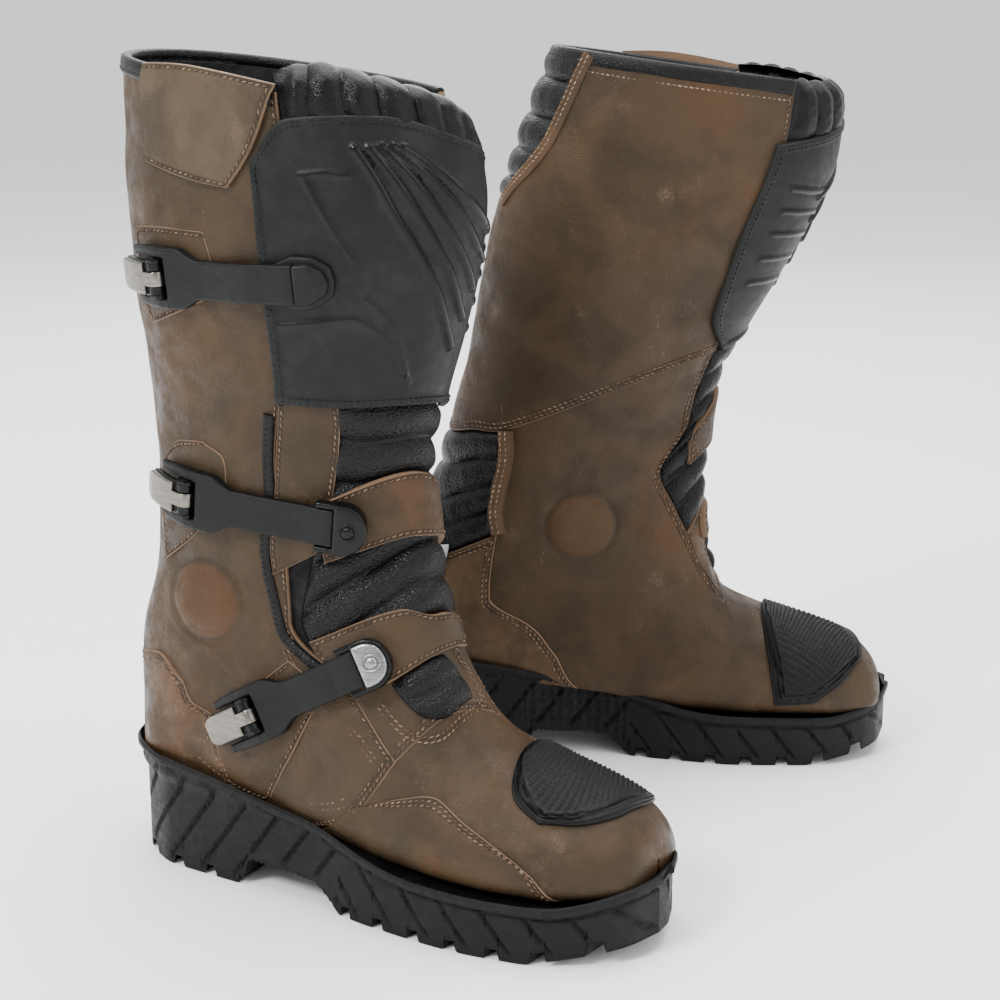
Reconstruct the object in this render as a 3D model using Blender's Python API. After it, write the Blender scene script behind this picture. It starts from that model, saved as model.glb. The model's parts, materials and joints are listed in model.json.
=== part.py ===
"""A pair of buckled riding boots. Lengths are in millimetres here and become metres in mesh_of."""

import math

import bpy
import numpy as np
from mathutils import Matrix, Vector

# Driving dimensions of one boot
sole_length = 310.0
shaft_height = 428.0      # top line at the back of the leg
front_height = 405.0      # top line at the shin
ball_width = 99.0
ankle_width = 83.0
calf_width = 128.0
heel_rise = 50.0          # top of the sole at the heel
forefoot_rise = 29.0      # top of the sole under the ball
toe_rise = 34.0           # top of the sole at the toe
heel_block = 84.0         # length of the heel block
arch_rise = 15.0
toe_spring = 10.0
lug_depth = 4.0

# Walls and clearances
leather = 2.0
lining_wall = 1.6
lining_gap = 4.0          # from the leather's inner face to the lining
plate_wall = 2.6
overlay_gap = 1.7         # from the leather to a piece that lies on it
seam_gap = 1.6            # between neighbouring panels
bellows_gap = 3.0         # round the soft bellows and the vamp
heel_gap = 8.6            # round the heel panel
rest_gap = 0.5            # between a piece and the sole it stands on
stack_gap = 1.0
board_wall = 2.0
shank_wall = 1.2
shank_width = 20.0
shank_length = 110.0
footbed_wall = 4.0
gaiter_rise = 0.045       # how far the collar stands above the top line, in stations

# Buckles
lever_width = 15.0
lever_length = 27.0
lever_wall = 2.2
pin_radius = 1.8
run_clearance = 0.3
knuckle_wall = 1.8
ear_wall = 1.8
base_wall = 1.4
base_length = 15.0
strap_width = 19.0
strap_wall = 3.2
arm_width = 4.6
nose_width = 13.2
cheek_wall = 2.5
strap_lift = 0.8          # from what lies below to the underside of a strap

# Stance
stance_width = 190.0      # between the two heels, measured across the right boot
stance_lead = 39.5        # how far the left heel stands ahead
toe_out = 12.95           # degrees that each boot turns outwards
shaft_lean = {"right": 0.0, "left": 81.0}

# The last: each section runs from a point on the front line (forward, up) to one on the back line.
# Drawn on a sole of 310 and an ankle whose sections start to stand up at 170.
drawn_length = 310.0
ankle_level = 170.0
drawn_shaft = 428.0
drawn_front = 405.0
stations = (0.0, 0.012, 0.05, 0.11, 0.19, 0.28, 0.37, 0.46, 0.54, 0.60, 0.66, 0.72, 0.79, 0.86, 0.93, 1.0, 1.06)
front_line = ((305, 44), (303, 52), (292, 66), (266, 77), (234, 87), (208, 99), (197, 118), (188, 144),
              (182, 174), (178, 201), (175, 228), (179, 260), (189, 297), (197, 330), (200, 360), (190, 405),
              (184, 428))
back_line = ((305, 42), (305, 36), (302, 31), (286, 28), (260, 27), (224, 27), (180, 28), (125, 32),
             (60, 38), (4, 53), (4, 112), (20, 176), (22, 241), (16, 302), (13, 360), (16, 428), (20, 452))
ball, ankle, calf = ball_width / 2, ankle_width / 2, calf_width / 2
outer_half = (1, 16, ball * 0.63, ball * 0.84, ball * 0.96, ball, ball * 0.98, ankle * 1.08, ankle * 1.01,
              ankle, ankle * 1.02, (2 * ankle + calf) / 3.2, ankle * 0.53 + calf * 0.47, calf * 0.91, calf * 0.97,
              calf, calf)
inner_share = (1, 1, 1, 0.97, 0.94, 0.96, 0.94, 0.96, 0.98, 1, 1, 1, 1, 1, 1, 1, 1)
middle_shift = (4, 5, 6, 5, 3, 0, 0, 0, 0, 0, 0, 0, 0, 0, 0, 0, 0)
widest_at = (.60, .62, .65, .70, .74, .76, .74, .70, .66, .62, .58, .54, .50, .50, .50, .50, .50)
front_roundness = (2.0, 2.0, 2.0, 2.1, 2.1, 2.1, 2.1, 2.1, 2.1, 2.1, 2.1, 2.1, 2.1, 2.1, 2.1, 2.1, 2.1)
back_roundness = (2.5, 2.7, 3.0, 3.2, 3.4, 3.4, 3.2, 3.0, 2.6, 2.4, 2.2, 2.2, 2.2, 2.2, 2.2, 2.2, 2.2)


def smooth_curve(knots, values):
    """A shape-preserving cubic through the knots, as a function of an array."""
    x = np.asarray(knots, float)
    y = np.asarray(values, float)
    step = np.diff(x)
    slope = np.diff(y) / step
    tangent = np.zeros_like(y)
    for i in range(1, len(x) - 1):
        if slope[i - 1] * slope[i] > 0:
            first = 2 * step[i] + step[i - 1]
            second = step[i] + 2 * step[i - 1]
            tangent[i] = (first + second) / (first / slope[i - 1] + second / slope[i])
    tangent[0], tangent[-1] = slope[0], slope[-1]

    def read(at):
        at = np.clip(np.asarray(at, float), x[0], x[-1])
        i = np.clip(np.searchsorted(x, at, side="right") - 1, 0, len(x) - 2)
        s = (at - x[i]) / step[i]
        lead = (1 + 2 * s) * (1 - s) ** 2 * y[i] + s * (1 - s) ** 2 * step[i] * tangent[i]
        return lead + s * s * (3 - 2 * s) * y[i + 1] + s * s * (s - 1) * step[i] * tangent[i + 1]

    return read


grade = sole_length / drawn_length


def raised(height, drawn_top, top):
    """A drawn height with the part above the ankle stretched to the wanted top."""
    if height <= ankle_level:
        return height
    return ankle_level + (height - ankle_level) * (top - ankle_level) / (drawn_top - ankle_level)


front_x = smooth_curve(stations, [p[0] * grade for p in front_line])
front_z = smooth_curve(stations, [raised(p[1], drawn_front, front_height) for p in front_line])
back_x = smooth_curve(stations, [p[0] * grade for p in back_line])
back_z = smooth_curve(stations, [raised(p[1], drawn_shaft, shaft_height) for p in back_line])
half_outer = smooth_curve(stations, outer_half)
half_inner = smooth_curve(stations, [w * k for w, k in zip(outer_half, inner_share)])
middle = smooth_curve(stations, middle_shift)
widest = smooth_curve(stations, widest_at)
front_power = smooth_curve(stations, front_roundness)
back_power = smooth_curve(stations, back_roundness)
sole_top = smooth_curve(
    [0, 60 * grade, 130 * grade, 200 * grade, 270 * grade, sole_length],
    [heel_rise, heel_rise - 2, heel_rise - 8, forefoot_rise, forefoot_rise - 2, toe_rise],
)


def last_point(t, degrees, lean):
    """The upper's outer face. Degrees run from the front ridge, inner side positive, to 180 at the back."""
    t = np.asarray(t, float)
    angle = np.radians(np.asarray(degrees, float))
    ca, sa = np.cos(angle), np.sin(angle)
    power = np.where(ca >= 0, front_power(t), back_power(t))
    share = widest(t)
    round_ca = np.abs(ca) ** (2 / power)
    along = np.where(ca >= 0, share * (1 - round_ca), share + (1 - share) * round_ca)
    width = np.where(sa >= 0, half_inner(t), half_outer(t))
    x = front_x(t) + (back_x(t) - front_x(t)) * along
    z = front_z(t) + (back_z(t) - front_z(t)) * along
    y = middle(t) + width * np.sign(sa) * np.abs(sa) ** (2 / power)
    x = x + lean * np.clip((z - 110) / 310, 0, 1.5) ** 1.3
    return np.stack([x, y, z], -1)


def last_normal(t, degrees, lean):
    t = np.asarray(t, float)
    d = np.asarray(degrees, float)
    along = last_point(np.minimum(t + 0.004, 1.06), d, lean) - last_point(np.maximum(t - 0.004, 0.003), d, lean)
    around = last_point(t, d + 1.5, lean) - last_point(t, d - 1.5, lean)
    normal = np.cross(around, along)
    return normal / np.maximum(np.linalg.norm(normal, axis=-1, keepdims=True), 1e-9)


def skin(t, degrees, offset, lean):
    return last_point(t, degrees, lean) + offset * last_normal(t, degrees, lean)


def bisect(low, high, is_below):
    for _ in range(40):
        half = (low + high) / 2
        if is_below(half):
            high = half
        else:
            low = half
    return (low + high) / 2


def above_sole(t, degrees):
    p = last_point(t, degrees, 0.0)
    return p[..., 2] - sole_top(p[..., 0]) - rest_gap


def feather_angle(t, side):
    """Where the section at t meets the sole; side is +1 on the inner and -1 on the outer side."""
    return side * bisect(15.0, 179.0, lambda a: above_sole(t, side * a) < 0)


def feather_station(degrees):
    """Where the line at this angle meets the sole, for the heel."""
    return bisect(0.68, 0.30, lambda t: above_sole(t, degrees) < 0)


def feather_along(t0, t1, side, count=14):
    return [(t, feather_angle(t, side)) for t in np.linspace(t0, t1, count)]


def feather_around(a0, a1, count=12):
    return [(feather_station(a), a) for a in np.linspace(a0, a1, count)]


def heel_feather(inner_t, outer_t):
    """The line where the heel meets the sole, from the inner side round the back to the outer side."""
    turn_t = 0.56
    inner, outer = feather_angle(turn_t, 1), 360 + feather_angle(turn_t, -1)
    outer_side = [(t, 360 + a) for t, a in feather_along(turn_t, outer_t, -1, 4)]
    return feather_along(inner_t, turn_t, 1, 6) + feather_around(inner, outer)[1:-1] + outer_side


# Boundary lines that neighbouring panels share, as (station, degrees)
outer_foot_end = (0.46, feather_angle(0.46, -1))
inner_vamp_end = (0.265, feather_angle(0.265, 1))
outer_heel_end = (0.524, feather_angle(0.524, -1))
inner_heel_end = (0.480, feather_angle(0.480, 1))
vamp_back = [outer_foot_end, (0.413, -83), (0.398, -63), (0.343, -21), (0.312, 0), (0.295, 20), (0.275, 60),
             inner_vamp_end]
outer_front_edge = [(0.398, -63), (0.506, -60), (0.577, -64), (0.651, -66), (0.716, -75), (0.765, -77),
                    (0.87, -72), (1.0, -70)]
inner_front_edge = [(0.295, 20), (0.38, 26), (0.464, 30), (0.54, 36), (0.599, 40), (0.639, 28), (0.72, 32)]
inner_shin_edge = [(0.72, 32), (0.778, 44), (0.88, 50), (1.0, 52)]
middle_seam = [(0.72, 32), (0.732, 84), (0.735, 122), (0.744, 147), (0.745, 180), (0.745, 195)]
ankle_notch = [(0.65, 98), (0.70, 112), (0.735, 122)]
inner_heel_seam = [inner_heel_end, (0.52, 100), (0.564, 92), (0.60, 94), (0.65, 98)]
outer_heel_seam = [outer_heel_end, (0.55, -108), (0.575, -93), (0.60, -98), (0.621, -104), (0.649, -125),
                   (0.66, -165)]
calf_front = [(0.907, 166), (0.95, 142), (1.0, 137)]
bellows_top = [(0.765, -77), (0.745, -40), (0.725, 0), (0.72, 32)]


def turned(line):
    """The same line with its degrees carried past 180, for panels that go round the back."""
    return [(t, a + 360) for t, a in line]


def sub_line(line, first, last):
    """The stretch of a line from one of its points to another."""
    return line[line.index(first):line.index(last) + 1]


def fractions_of(line):
    points = np.array([last_point(t, a, 0.0) for t, a in line])
    run = np.concatenate([[0], np.cumsum(np.linalg.norm(np.diff(points, axis=0), axis=1))])
    return run / run[-1], run[-1]


def edge_reader(line):
    run, length = fractions_of(line)
    t = smooth_curve(run, [p[0] for p in line])
    a = smooth_curve(run, [p[1] for p in line])
    return (lambda s: np.stack([t(s), a(s)], -1)), length


def panel_grid(bottom, right, top, left, across, along, gap):
    """Stations and degrees over a four-sided panel. Bottom and top run left to right, the sides upwards."""
    readers = [edge_reader(line) for line in (bottom, right, top, left)]
    (low, low_run), (east, east_run), (high, high_run), (west, west_run) = readers
    inset_u = gap / (low_run + high_run)
    inset_v = gap / (east_run + west_run)
    u = np.linspace(inset_u, 1 - inset_u, across + 1)[None, :, None]
    v = np.linspace(inset_v, 1 - inset_v, along + 1)[:, None, None]
    lower, upper = low(u[0, :, 0])[None], high(u[0, :, 0])[None]
    sides = (1 - u) * west(v[:, 0, 0])[:, None] + u * east(v[:, 0, 0])[:, None]
    corners = (1 - u) * (1 - v) * low(0) + u * (1 - v) * low(1) + (1 - u) * v * high(0) + u * v * high(1)
    grid = (1 - v) * lower + v * upper + sides - corners
    return grid[..., 0], grid[..., 1]


def quad_grid(rows, columns, start=0, wrap=False):
    faces = []
    for i in range(rows - 1):
        for j in range(columns if wrap else columns - 1):
            k = (j + 1) % columns
            faces.append([start + i * columns + j, start + i * columns + k,
                          start + (i + 1) * columns + k, start + (i + 1) * columns + j])
    return faces


def walls_between(loop, shift):
    """Quads that join a loop of points on one face to the same loop on the other."""
    return [[loop[i], loop[i] + shift, loop[(i + 1) % len(loop)] + shift, loop[(i + 1) % len(loop)]]
            for i in range(len(loop))]


def outward(points, faces):
    """The faces turned so that the solid faces out."""
    volume = 0.0
    for face in faces:
        for i in range(1, len(face) - 1):
            a, b, c = points[face[0]], points[face[i]], points[face[i + 1]]
            volume += float(np.dot(a, np.cross(b, c)))
    return faces if volume > 0 else [face[::-1] for face in faces]


def thick_sheet(outer, inner):
    """A closed solid between two grids of points with the same layout."""
    rows, columns = outer.shape[:2]
    count = rows * columns
    points = np.concatenate([outer.reshape(-1, 3), inner.reshape(-1, 3)])
    front = quad_grid(rows, columns)
    back = [[i + count for i in face[::-1]] for face in front]
    loop = list(range(columns)) + [i * columns + columns - 1 for i in range(1, rows)]
    loop += [(rows - 1) * columns + j for j in range(columns - 2, -1, -1)]
    loop += [i * columns for i in range(rows - 2, 0, -1)]
    faces = front + back + walls_between(loop, count)
    return points, outward(points, faces)


def stand_clear(points):
    """Points that would dip into the sole are lifted onto it."""
    points[..., 2] = np.maximum(points[..., 2], sole_top(points[..., 0]) + rest_gap)
    return points


def panel(edges, low, high, across, along, gap, lean):
    t, a = panel_grid(*edges, across, along, gap)
    return thick_sheet(stand_clear(skin(t, a, high, lean)), stand_clear(skin(t, a, low, lean)))


def leather_panels(lean):
    """Every piece of the upper that lies in the leather's own layer."""
    toe_row = 0.002
    toe_outer, toe_inner = feather_angle(toe_row, -1), feather_angle(toe_row, 1)
    after_vamp = sub_line(vamp_back, (0.398, -63), (0.295, 20))
    above_bellows = sub_line(outer_front_edge, (0.765, -77), (1.0, -70)) + [(1 + gaiter_rise, -70)]
    layout = {
        "vamp": (([(toe_row, toe_outer), (toe_row, 0), (toe_row, toe_inner)],
                  feather_along(toe_row, 0.265, 1), vamp_back, feather_along(toe_row, 0.46, -1)), 12, 8, bellows_gap),
        "quarter_inner": ((feather_along(0.265, inner_heel_end[0], 1)[:-1] + inner_heel_seam + ankle_notch[1:],
                           [(0.735, 122), (0.732, 84), (0.72, 32)], inner_front_edge,
                           [inner_vamp_end, (0.275, 60), (0.295, 20)]), 16, 6, seam_gap),
        "side_outer": ((feather_along(0.46, outer_heel_end[0], -1, 5)[:-1] + outer_heel_seam
                        + [(0.745, -165), (0.88, -165), (1.0, -165)],
                        [(1.0, -165), (1.0, -116), (1.0, -70)], outer_front_edge,
                        [outer_foot_end, (0.413, -83), (0.398, -63)]), 20, 6, seam_gap),
        "shaft_inner": ((middle_seam, [(0.745, 195), (0.82, 195), (0.905, 195), (0.907, 166)] + calf_front[1:],
                         [(1.0, 52), (1.0, 95), (1.0, 137)], inner_shin_edge), 10, 11, seam_gap),
        "calf_bellows": (([(0.907, 166), (0.905, 195)], [(0.905, 195), (1.0, 195)],
                          [(1.0, 137), (1.0, 168), (1.0, 195)], calf_front), 5, 4, bellows_gap),
        "ankle_bellows_rear": (([(0.65, 98), (0.655, 118), (0.66, 150), (0.663, 180), (0.66, 195)],
                                [(0.66, 195), (0.70, 195), (0.745, 195)],
                                sub_line(middle_seam, (0.735, 122), (0.745, 195)), ankle_notch), 7, 4,
                               bellows_gap),
        "heel_panel": ((heel_feather(inner_heel_end[0], outer_heel_end[0]),
                        turned(outer_heel_seam[:5]),
                        [(0.65, 98), (0.655, 118), (0.66, 150), (0.663, 180), (0.66, 195), (0.649, 235),
                         (0.621, 256)], inner_heel_seam), 12, 5, heel_gap),
        "ankle_bellows_front": ((after_vamp, inner_front_edge, bellows_top,
                                 sub_line(outer_front_edge, (0.398, -63), (0.765, -77))), 6, 10,
                                bellows_gap),
        "gaiter": ((bellows_top, inner_shin_edge + [(1 + gaiter_rise, 52)],
                    [(1 + gaiter_rise, -70), (1 + gaiter_rise, -9), (1 + gaiter_rise, 52)], above_bellows), 9, 8, seam_gap),
    }
    return {name: panel(edges, -leather, 0.0, across, along, gap, lean)
            for name, (edges, across, along, gap) in layout.items()}


def overlay_panels(lean):
    """Pieces that lie on the leather: plate, flap, toe pad and the two leather straps."""
    layout = {
        "shin_plate": (([(0.774, -79), (0.745, -40), (0.724, 0), (0.718, 31)],
                        [(0.718, 31), (0.778, 53), (0.879, 58), (0.968, 58)],
                        [(0.955, -80), (0.984, -66), (0.992, -35), (0.985, 22), (0.968, 58)],
                        [(0.774, -79), (0.86, -79), (0.955, -80)]), 9, 8, plate_wall),
        "top_flap": (([(0.950, -121), (0.945, -104), (0.940, -89)], [(0.940, -89), (0.966, -79), (0.998, -67)],
                      [(0.994, -119), (1.0, -95), (0.998, -67)], [(0.950, -121), (0.972, -122), (0.994, -119)]),
                     5, 3, leather),
        "toe_pad": (([(0.160, -47), (0.115, -28), (0.078, 8), (0.064, 45)], [(0.064, 45), (0.13, 76), (0.24, 97)],
                     [(0.197, 15), (0.215, 55), (0.24, 97)], [(0.160, -47), (0.185, -30), (0.197, 15)]),
                    6, 5, 2.5),
        "ankle_strap_leather": (([(0.628, -53), (0.600, -20), (0.584, 0), (0.577, 27)], [(0.577, 27), (0.622, 27)],
                                 [(0.680, -53), (0.668, -20), (0.655, 0), (0.622, 27)],
                                 [(0.628, -53), (0.680, -53)]), 6, 2, leather),
        "instep_strap_leather": (([(0.508, -61), (0.470, -45), (0.439, -6), (0.43, 14)], [(0.43, 14), (0.482, 14)],
                                  [(0.572, -62), (0.532, -29), (0.498, -12), (0.482, 14)],
                                  [(0.508, -61), (0.572, -62)]), 6, 2, leather),
    }
    return {name: panel(edges, overlay_gap, overlay_gap + wall, across, along, seam_gap, lean)
            for name, (edges, across, along, wall) in layout.items()}


def sole_halves(x):
    """How far the sole reaches to the inner and the outer side at this distance from its heel."""
    s = np.clip(x / sole_length, 0, 1)
    heel, ball_half = ankle_width / 2 - 2, ball_width / 2
    knots = (0.0, 0.02, 0.06, 0.12, 0.24, 0.40, 0.55, 0.70, 0.82, 0.92, 0.975, 1.0)
    inner = (0, heel * 0.42, heel * 0.72, heel * 0.93, heel * 0.93, heel * 0.82, ball_half * 0.84, ball_half * 1.0,
             ball_half * 0.98, ball_half * 0.84, ball_half * 0.56, 6)
    outer = (0, heel * 0.42, heel * 0.72, heel * 0.95, heel * 1.02, heel * 1.08, ball_half * 1.03, ball_half * 1.10,
             ball_half * 1.02, ball_half * 0.76, ball_half * 0.46, 6)
    return smooth_curve(knots, inner)(s), smooth_curve(knots, outer)(s)


def sole_bottom(x):
    """The tread: heel block, arch and cross lugs, as the height of the underside."""
    breast = heel_block
    rise = np.interp(x, [0, 9, breast, breast + 6, breast + 50, breast + 66, 0.83 * sole_length, sole_length],
                     [6, 0, 0, arch_rise, arch_rise - 2, 0, 0, toe_spring])
    return rise


def outsole():
    lug_pitch, groove = 22.0, 5.0
    xs = [0.6, 2.5, 6, 10, 18, 30]
    for start in (26.0, 50.0):
        xs += [start, start + 0.6, start + groove, start + groove + 0.6]
    xs += [heel_block - 10, heel_block, heel_block + 6, heel_block + 28, heel_block + 50, heel_block + 66]
    first = heel_block + 80
    lugs = [first + lug_pitch * i for i in range(5)]
    for start in lugs:
        xs += [start, start + 0.6, start + groove, start + groove + 0.6]
    xs += [sole_length - 34, sole_length - 22, sole_length - 12, sole_length - 5, sole_length - 1.5, sole_length]
    xs += list(np.linspace(34, sole_length - 40, 14))
    xs = np.array(sorted(set(x for x in xs if x <= sole_length)))
    xs = xs[np.concatenate([[True], np.diff(xs) > 0.4])]
    low = sole_bottom(xs)
    for start in [26.0, 50.0] + lugs:
        low = np.where((xs > start + 0.3) & (xs < start + groove + 0.3), low + lug_depth, low)
    inner, outer = sole_halves(xs)
    high = sole_top(xs)
    share = np.array([-1.0, -0.62, 0.0, 0.62, 1.0])
    y = np.where(share[None] < 0, share[None] * outer[:, None], share[None] * inner[:, None])
    x = np.repeat(xs[:, None], len(share), axis=1)
    top = np.stack([x, y, np.repeat(high[:, None], len(share), axis=1)], -1)
    bottom = np.stack([x, y, np.repeat(low[:, None], len(share), axis=1)], -1)
    return thick_sheet(top, bottom)


def flat_layer(start, end, low, high, inset, count):
    """A flat piece of the insole stack, with its edge set in from the sole's edge."""
    xs = start + (end - start) * (1 - np.cos(np.linspace(0, math.pi, count))) / 2
    inner, outer = sole_halves(np.clip(xs, 0.12 * sole_length, 0.84 * sole_length))
    round_end = np.sqrt(np.clip(1 - ((xs - (start + end) / 2) / ((end - start) / 2)) ** 4, 0.02, 1))
    share = np.array([-1.0, 0.0, 1.0])
    halves = np.stack([-(outer - inset) * round_end, 0 * xs, (inner - inset) * round_end], 1)
    x = np.repeat(xs[:, None], len(share), axis=1)
    base = sole_top(xs)[:, None] + 0 * x
    return thick_sheet(np.stack([x, halves, base + high], -1), np.stack([x, halves, base + low], -1))


def shank_strip():
    xs = np.linspace(0.24 * sole_length, 0.24 * sole_length + shank_length, 6)
    y = np.array([-shank_width / 2, shank_width / 2])[None] + 0 * xs[:, None]
    x = xs[:, None] + 0 * y
    base = sole_top(xs)[:, None] + rest_gap + board_wall + stack_gap + 0 * y
    return thick_sheet(np.stack([x, y, base + shank_wall], -1), np.stack([x, y, base], -1))


lining_floor = rest_gap + board_wall + shank_wall + 2 * stack_gap + 0.2


def lining(lean):
    """The soft inner boot: a tube from the toe to the top line, closed at the toe and flat underneath."""
    rows = np.array([0.05, 0.08, 0.12, 0.19, 0.28, 0.37, 0.45, 0.52, 0.57, 0.61, 0.65, 0.70, 0.76, 0.84, 0.92, 0.995])
    around = np.linspace(0, 360, 20, endpoint=False)
    t, a = np.meshgrid(rows, around, indexing="ij")
    skins = []
    for depth, floor in ((leather + lining_gap, lining_floor), (leather + lining_gap + lining_wall,
                                                                  lining_floor + lining_wall)):
        p = skin(t, a, -depth, lean)
        p[..., 2] = np.maximum(p[..., 2], sole_top(p[..., 0]) + floor)
        skins.append(p)
    skins[1][0, :, 0] -= lining_wall
    columns, count = len(around), len(rows) * len(around)
    points = np.concatenate([skins[0].reshape(-1, 3), skins[1].reshape(-1, 3)])
    outer = quad_grid(len(rows), columns, 0, True)
    inner = [[i + count for i in face[::-1]] for face in outer]
    faces = outer + inner + [list(range(columns))[::-1], [i + count for i in range(columns)]]
    rim = (len(rows) - 1) * columns
    faces += [[rim + j, rim + (j + 1) % columns, rim + (j + 1) % columns + count, rim + j + count]
              for j in range(columns)]
    return points, outward(points, faces)


class Carrier:
    """The plane that a strap and its buckle bend in, and the line they follow over the boot."""

    def __init__(self, buckle, receiver, deck, deck_edge, lean):
        start, end = last_point(*buckle, lean), last_point(*receiver, lean)
        normal = last_normal(*buckle, lean) + last_normal(*receiver, lean)
        self.x = (end - start) / np.linalg.norm(end - start)
        normal = normal - self.x * normal.dot(self.x)
        self.z = normal / np.linalg.norm(normal)
        self.y = np.cross(self.z, self.x)
        self.origin = start
        t, a = np.meshgrid(np.linspace(min(buckle[0], receiver[0]) - 0.07, max(buckle[0], receiver[0]) + 0.07, 60),
                           np.linspace(buckle[1] - 55, receiver[1] + 40, 160), indexing="ij")
        offset = np.where(a > deck_edge, deck, 0.0)[..., None]
        cloud = last_point(t, a, lean) + offset * last_normal(t, a, lean) - start
        cloud = np.stack([cloud @ self.x, cloud @ self.y, cloud @ self.z], -1).reshape(-1, 3)
        cloud = cloud[np.abs(cloud[:, 1]) < strap_width * 0.72]
        span = np.linalg.norm(end - start)
        bins = np.arange(-38.0, span + 22.0, 2.0)
        tops = []
        for x in bins:
            near = cloud[np.abs(cloud[:, 0] - x) < 1.6]
            if len(near):
                tops.append((x, near[:, 2].max() + strap_lift))
        hull = []
        for point in tops:
            while len(hull) > 1 and self.turns_up(hull[-2], hull[-1], point):
                hull.pop()
            hull.append(point)
        hull = np.array(hull)
        fine = np.linspace(hull[0, 0], hull[-1, 0], 400)
        height = np.interp(fine, hull[:, 0], hull[:, 1])
        kernel = np.exp(-0.5 * (np.arange(-30, 31) / 11.0) ** 2)
        padded = np.concatenate([height[0] + (height[0] - height[30:0:-1]), height,
                                 height[-1] + (height[-1] - height[-2:-32:-1])])
        smooth = np.convolve(padded, kernel / kernel.sum(), "same")[30:-30]
        smooth = smooth + np.maximum(0, (height - smooth)).max()
        self.line = np.stack([fine, smooth], 1)
        run = np.concatenate([[0], np.cumsum(np.linalg.norm(np.diff(self.line, axis=0), axis=1))])
        self.run = run - np.interp(0.0, fine, run)
        self.length = float(np.interp(span, fine, self.run))

    @staticmethod
    def turns_up(a, b, c):
        return (b[0] - a[0]) * (c[1] - a[1]) - (b[1] - a[1]) * (c[0] - a[0]) >= 0

    def flat(self, s, h):
        """The point at run s and height h above the line, in the carrier's own plane."""
        at = [np.interp(s, self.run, self.line[:, i]) for i in (0, 1)]
        ahead = [np.interp(s + 1.0, self.run, self.line[:, i]) for i in (0, 1)]
        behind = [np.interp(s - 1.0, self.run, self.line[:, i]) for i in (0, 1)]
        d = np.array([ahead[0] - behind[0], ahead[1] - behind[1]])
        d = d / np.linalg.norm(d)
        return np.array([at[0] - d[1] * h, at[1] + d[0] * h])

    def space(self, flat, y):
        return self.origin + flat[0] * self.x + y * self.y + flat[1] * self.z


def bar(carrier, profile, y0, y1):
    """A profile of (run, height) points, bent along the carrier and extruded across it."""
    flats = [carrier.flat(s, h) for s, h in profile]
    return prism(carrier, flats, y0, y1)


def prism(carrier, flats, y0, y1):
    count = len(flats)
    points = np.array([carrier.space(f, y0) for f in flats] + [carrier.space(f, y1) for f in flats])
    faces = [list(range(count)), [i + count for i in reversed(range(count))]]
    faces += [[i, i + count, (i + 1) % count + count, (i + 1) % count] for i in range(count)]
    return points, outward(points, faces)


def band(carrier, s0, s1, low, high, y0, y1, count):
    runs = np.linspace(s0, s1, count)
    profile = [(s, low(s)) for s in runs] + [(s, high(s)) for s in runs[::-1]]
    return bar(carrier, profile, y0, y1)


def rod(carrier, centre, radius, y0, y1, sides=14):
    flats = [centre + radius * np.array([math.cos(k), math.sin(k)])
             for k in np.linspace(0, 2 * math.pi, sides, endpoint=False)]
    return prism(carrier, flats, y0, y1)


def ring(carrier, centre, inner_radius, outer_radius, y0, y1, sides=14):
    points = []
    for radius, y in ((outer_radius, y0), (outer_radius, y1), (inner_radius, y1), (inner_radius, y0)):
        for k in np.linspace(0, 2 * math.pi, sides, endpoint=False):
            points.append(carrier.space(centre + radius * np.array([math.cos(k), math.sin(k)]), y))
    points = np.array(points)
    faces = []
    for loop in range(4):
        for j in range(sides):
            k, after = (j + 1) % sides, (loop + 1) % 4
            faces.append([loop * sides + j, loop * sides + k, after * sides + k, after * sides + j])
    return points, outward(points, faces)


def constant(value):
    return lambda s: value


knuckle_radius = pin_radius + run_clearance + knuckle_wall
pin_height = base_wall + stack_gap + knuckle_radius
ear_inside = lever_width / 2 + run_clearance
ear_outside = ear_inside + ear_wall
arm_inside = ear_outside + run_clearance
arm_outside = arm_inside + arm_width
nose_pin_radius = 1.5
nose_radius = nose_pin_radius + run_clearance + 1.5
nose_height = base_wall + stack_gap + nose_radius
cheek_inside = nose_width / 2 + run_clearance
cheek_outside = cheek_inside + cheek_wall


def buckle_base(carrier):
    """Base plate with two ears and the lever's pin."""
    centre = carrier.flat(0, pin_height)
    root, step = base_wall / 2, 0.3
    plate = band(carrier, -base_length + 5, 5, constant(0), constant(base_wall), step - ear_outside, ear_outside - step, 5)
    pieces = [plate, rod(carrier, centre, pin_radius, 2 * step - ear_outside, ear_outside - 2 * step)]
    for y0, y1 in ((-ear_outside, -ear_inside), (ear_inside, ear_outside)):
        profile = [(-4.2, root), (4.2, root), (4.2, pin_height + 1), (2.2, pin_height + 3.2),
                   (-2.2, pin_height + 3.2), (-4.2, pin_height + 1)]
        pieces.append(bar(carrier, profile, y0, y1))
    return pieces


def buckle_lever(carrier):
    """Knuckle round the pin and a long arm that lies back along the boot, with a turned-up tip."""
    half = lever_width / 2
    centre = carrier.flat(0, pin_height)
    arm_low = pin_height + pin_radius + run_clearance
    runs = np.linspace(0, -lever_length, 7)
    lift = [1.4 * max(0.0, (-s - 0.78 * lever_length) / (0.22 * lever_length)) for s in runs]
    profile = [(s, arm_low + k) for s, k in zip(runs, lift)]
    profile += [(s, arm_low + k + lever_wall) for s, k in zip(runs[::-1], lift[::-1])]
    return [ring(carrier, centre, pin_radius + run_clearance, knuckle_radius, -half, half),
            bar(carrier, profile, -half, half)]


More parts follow.
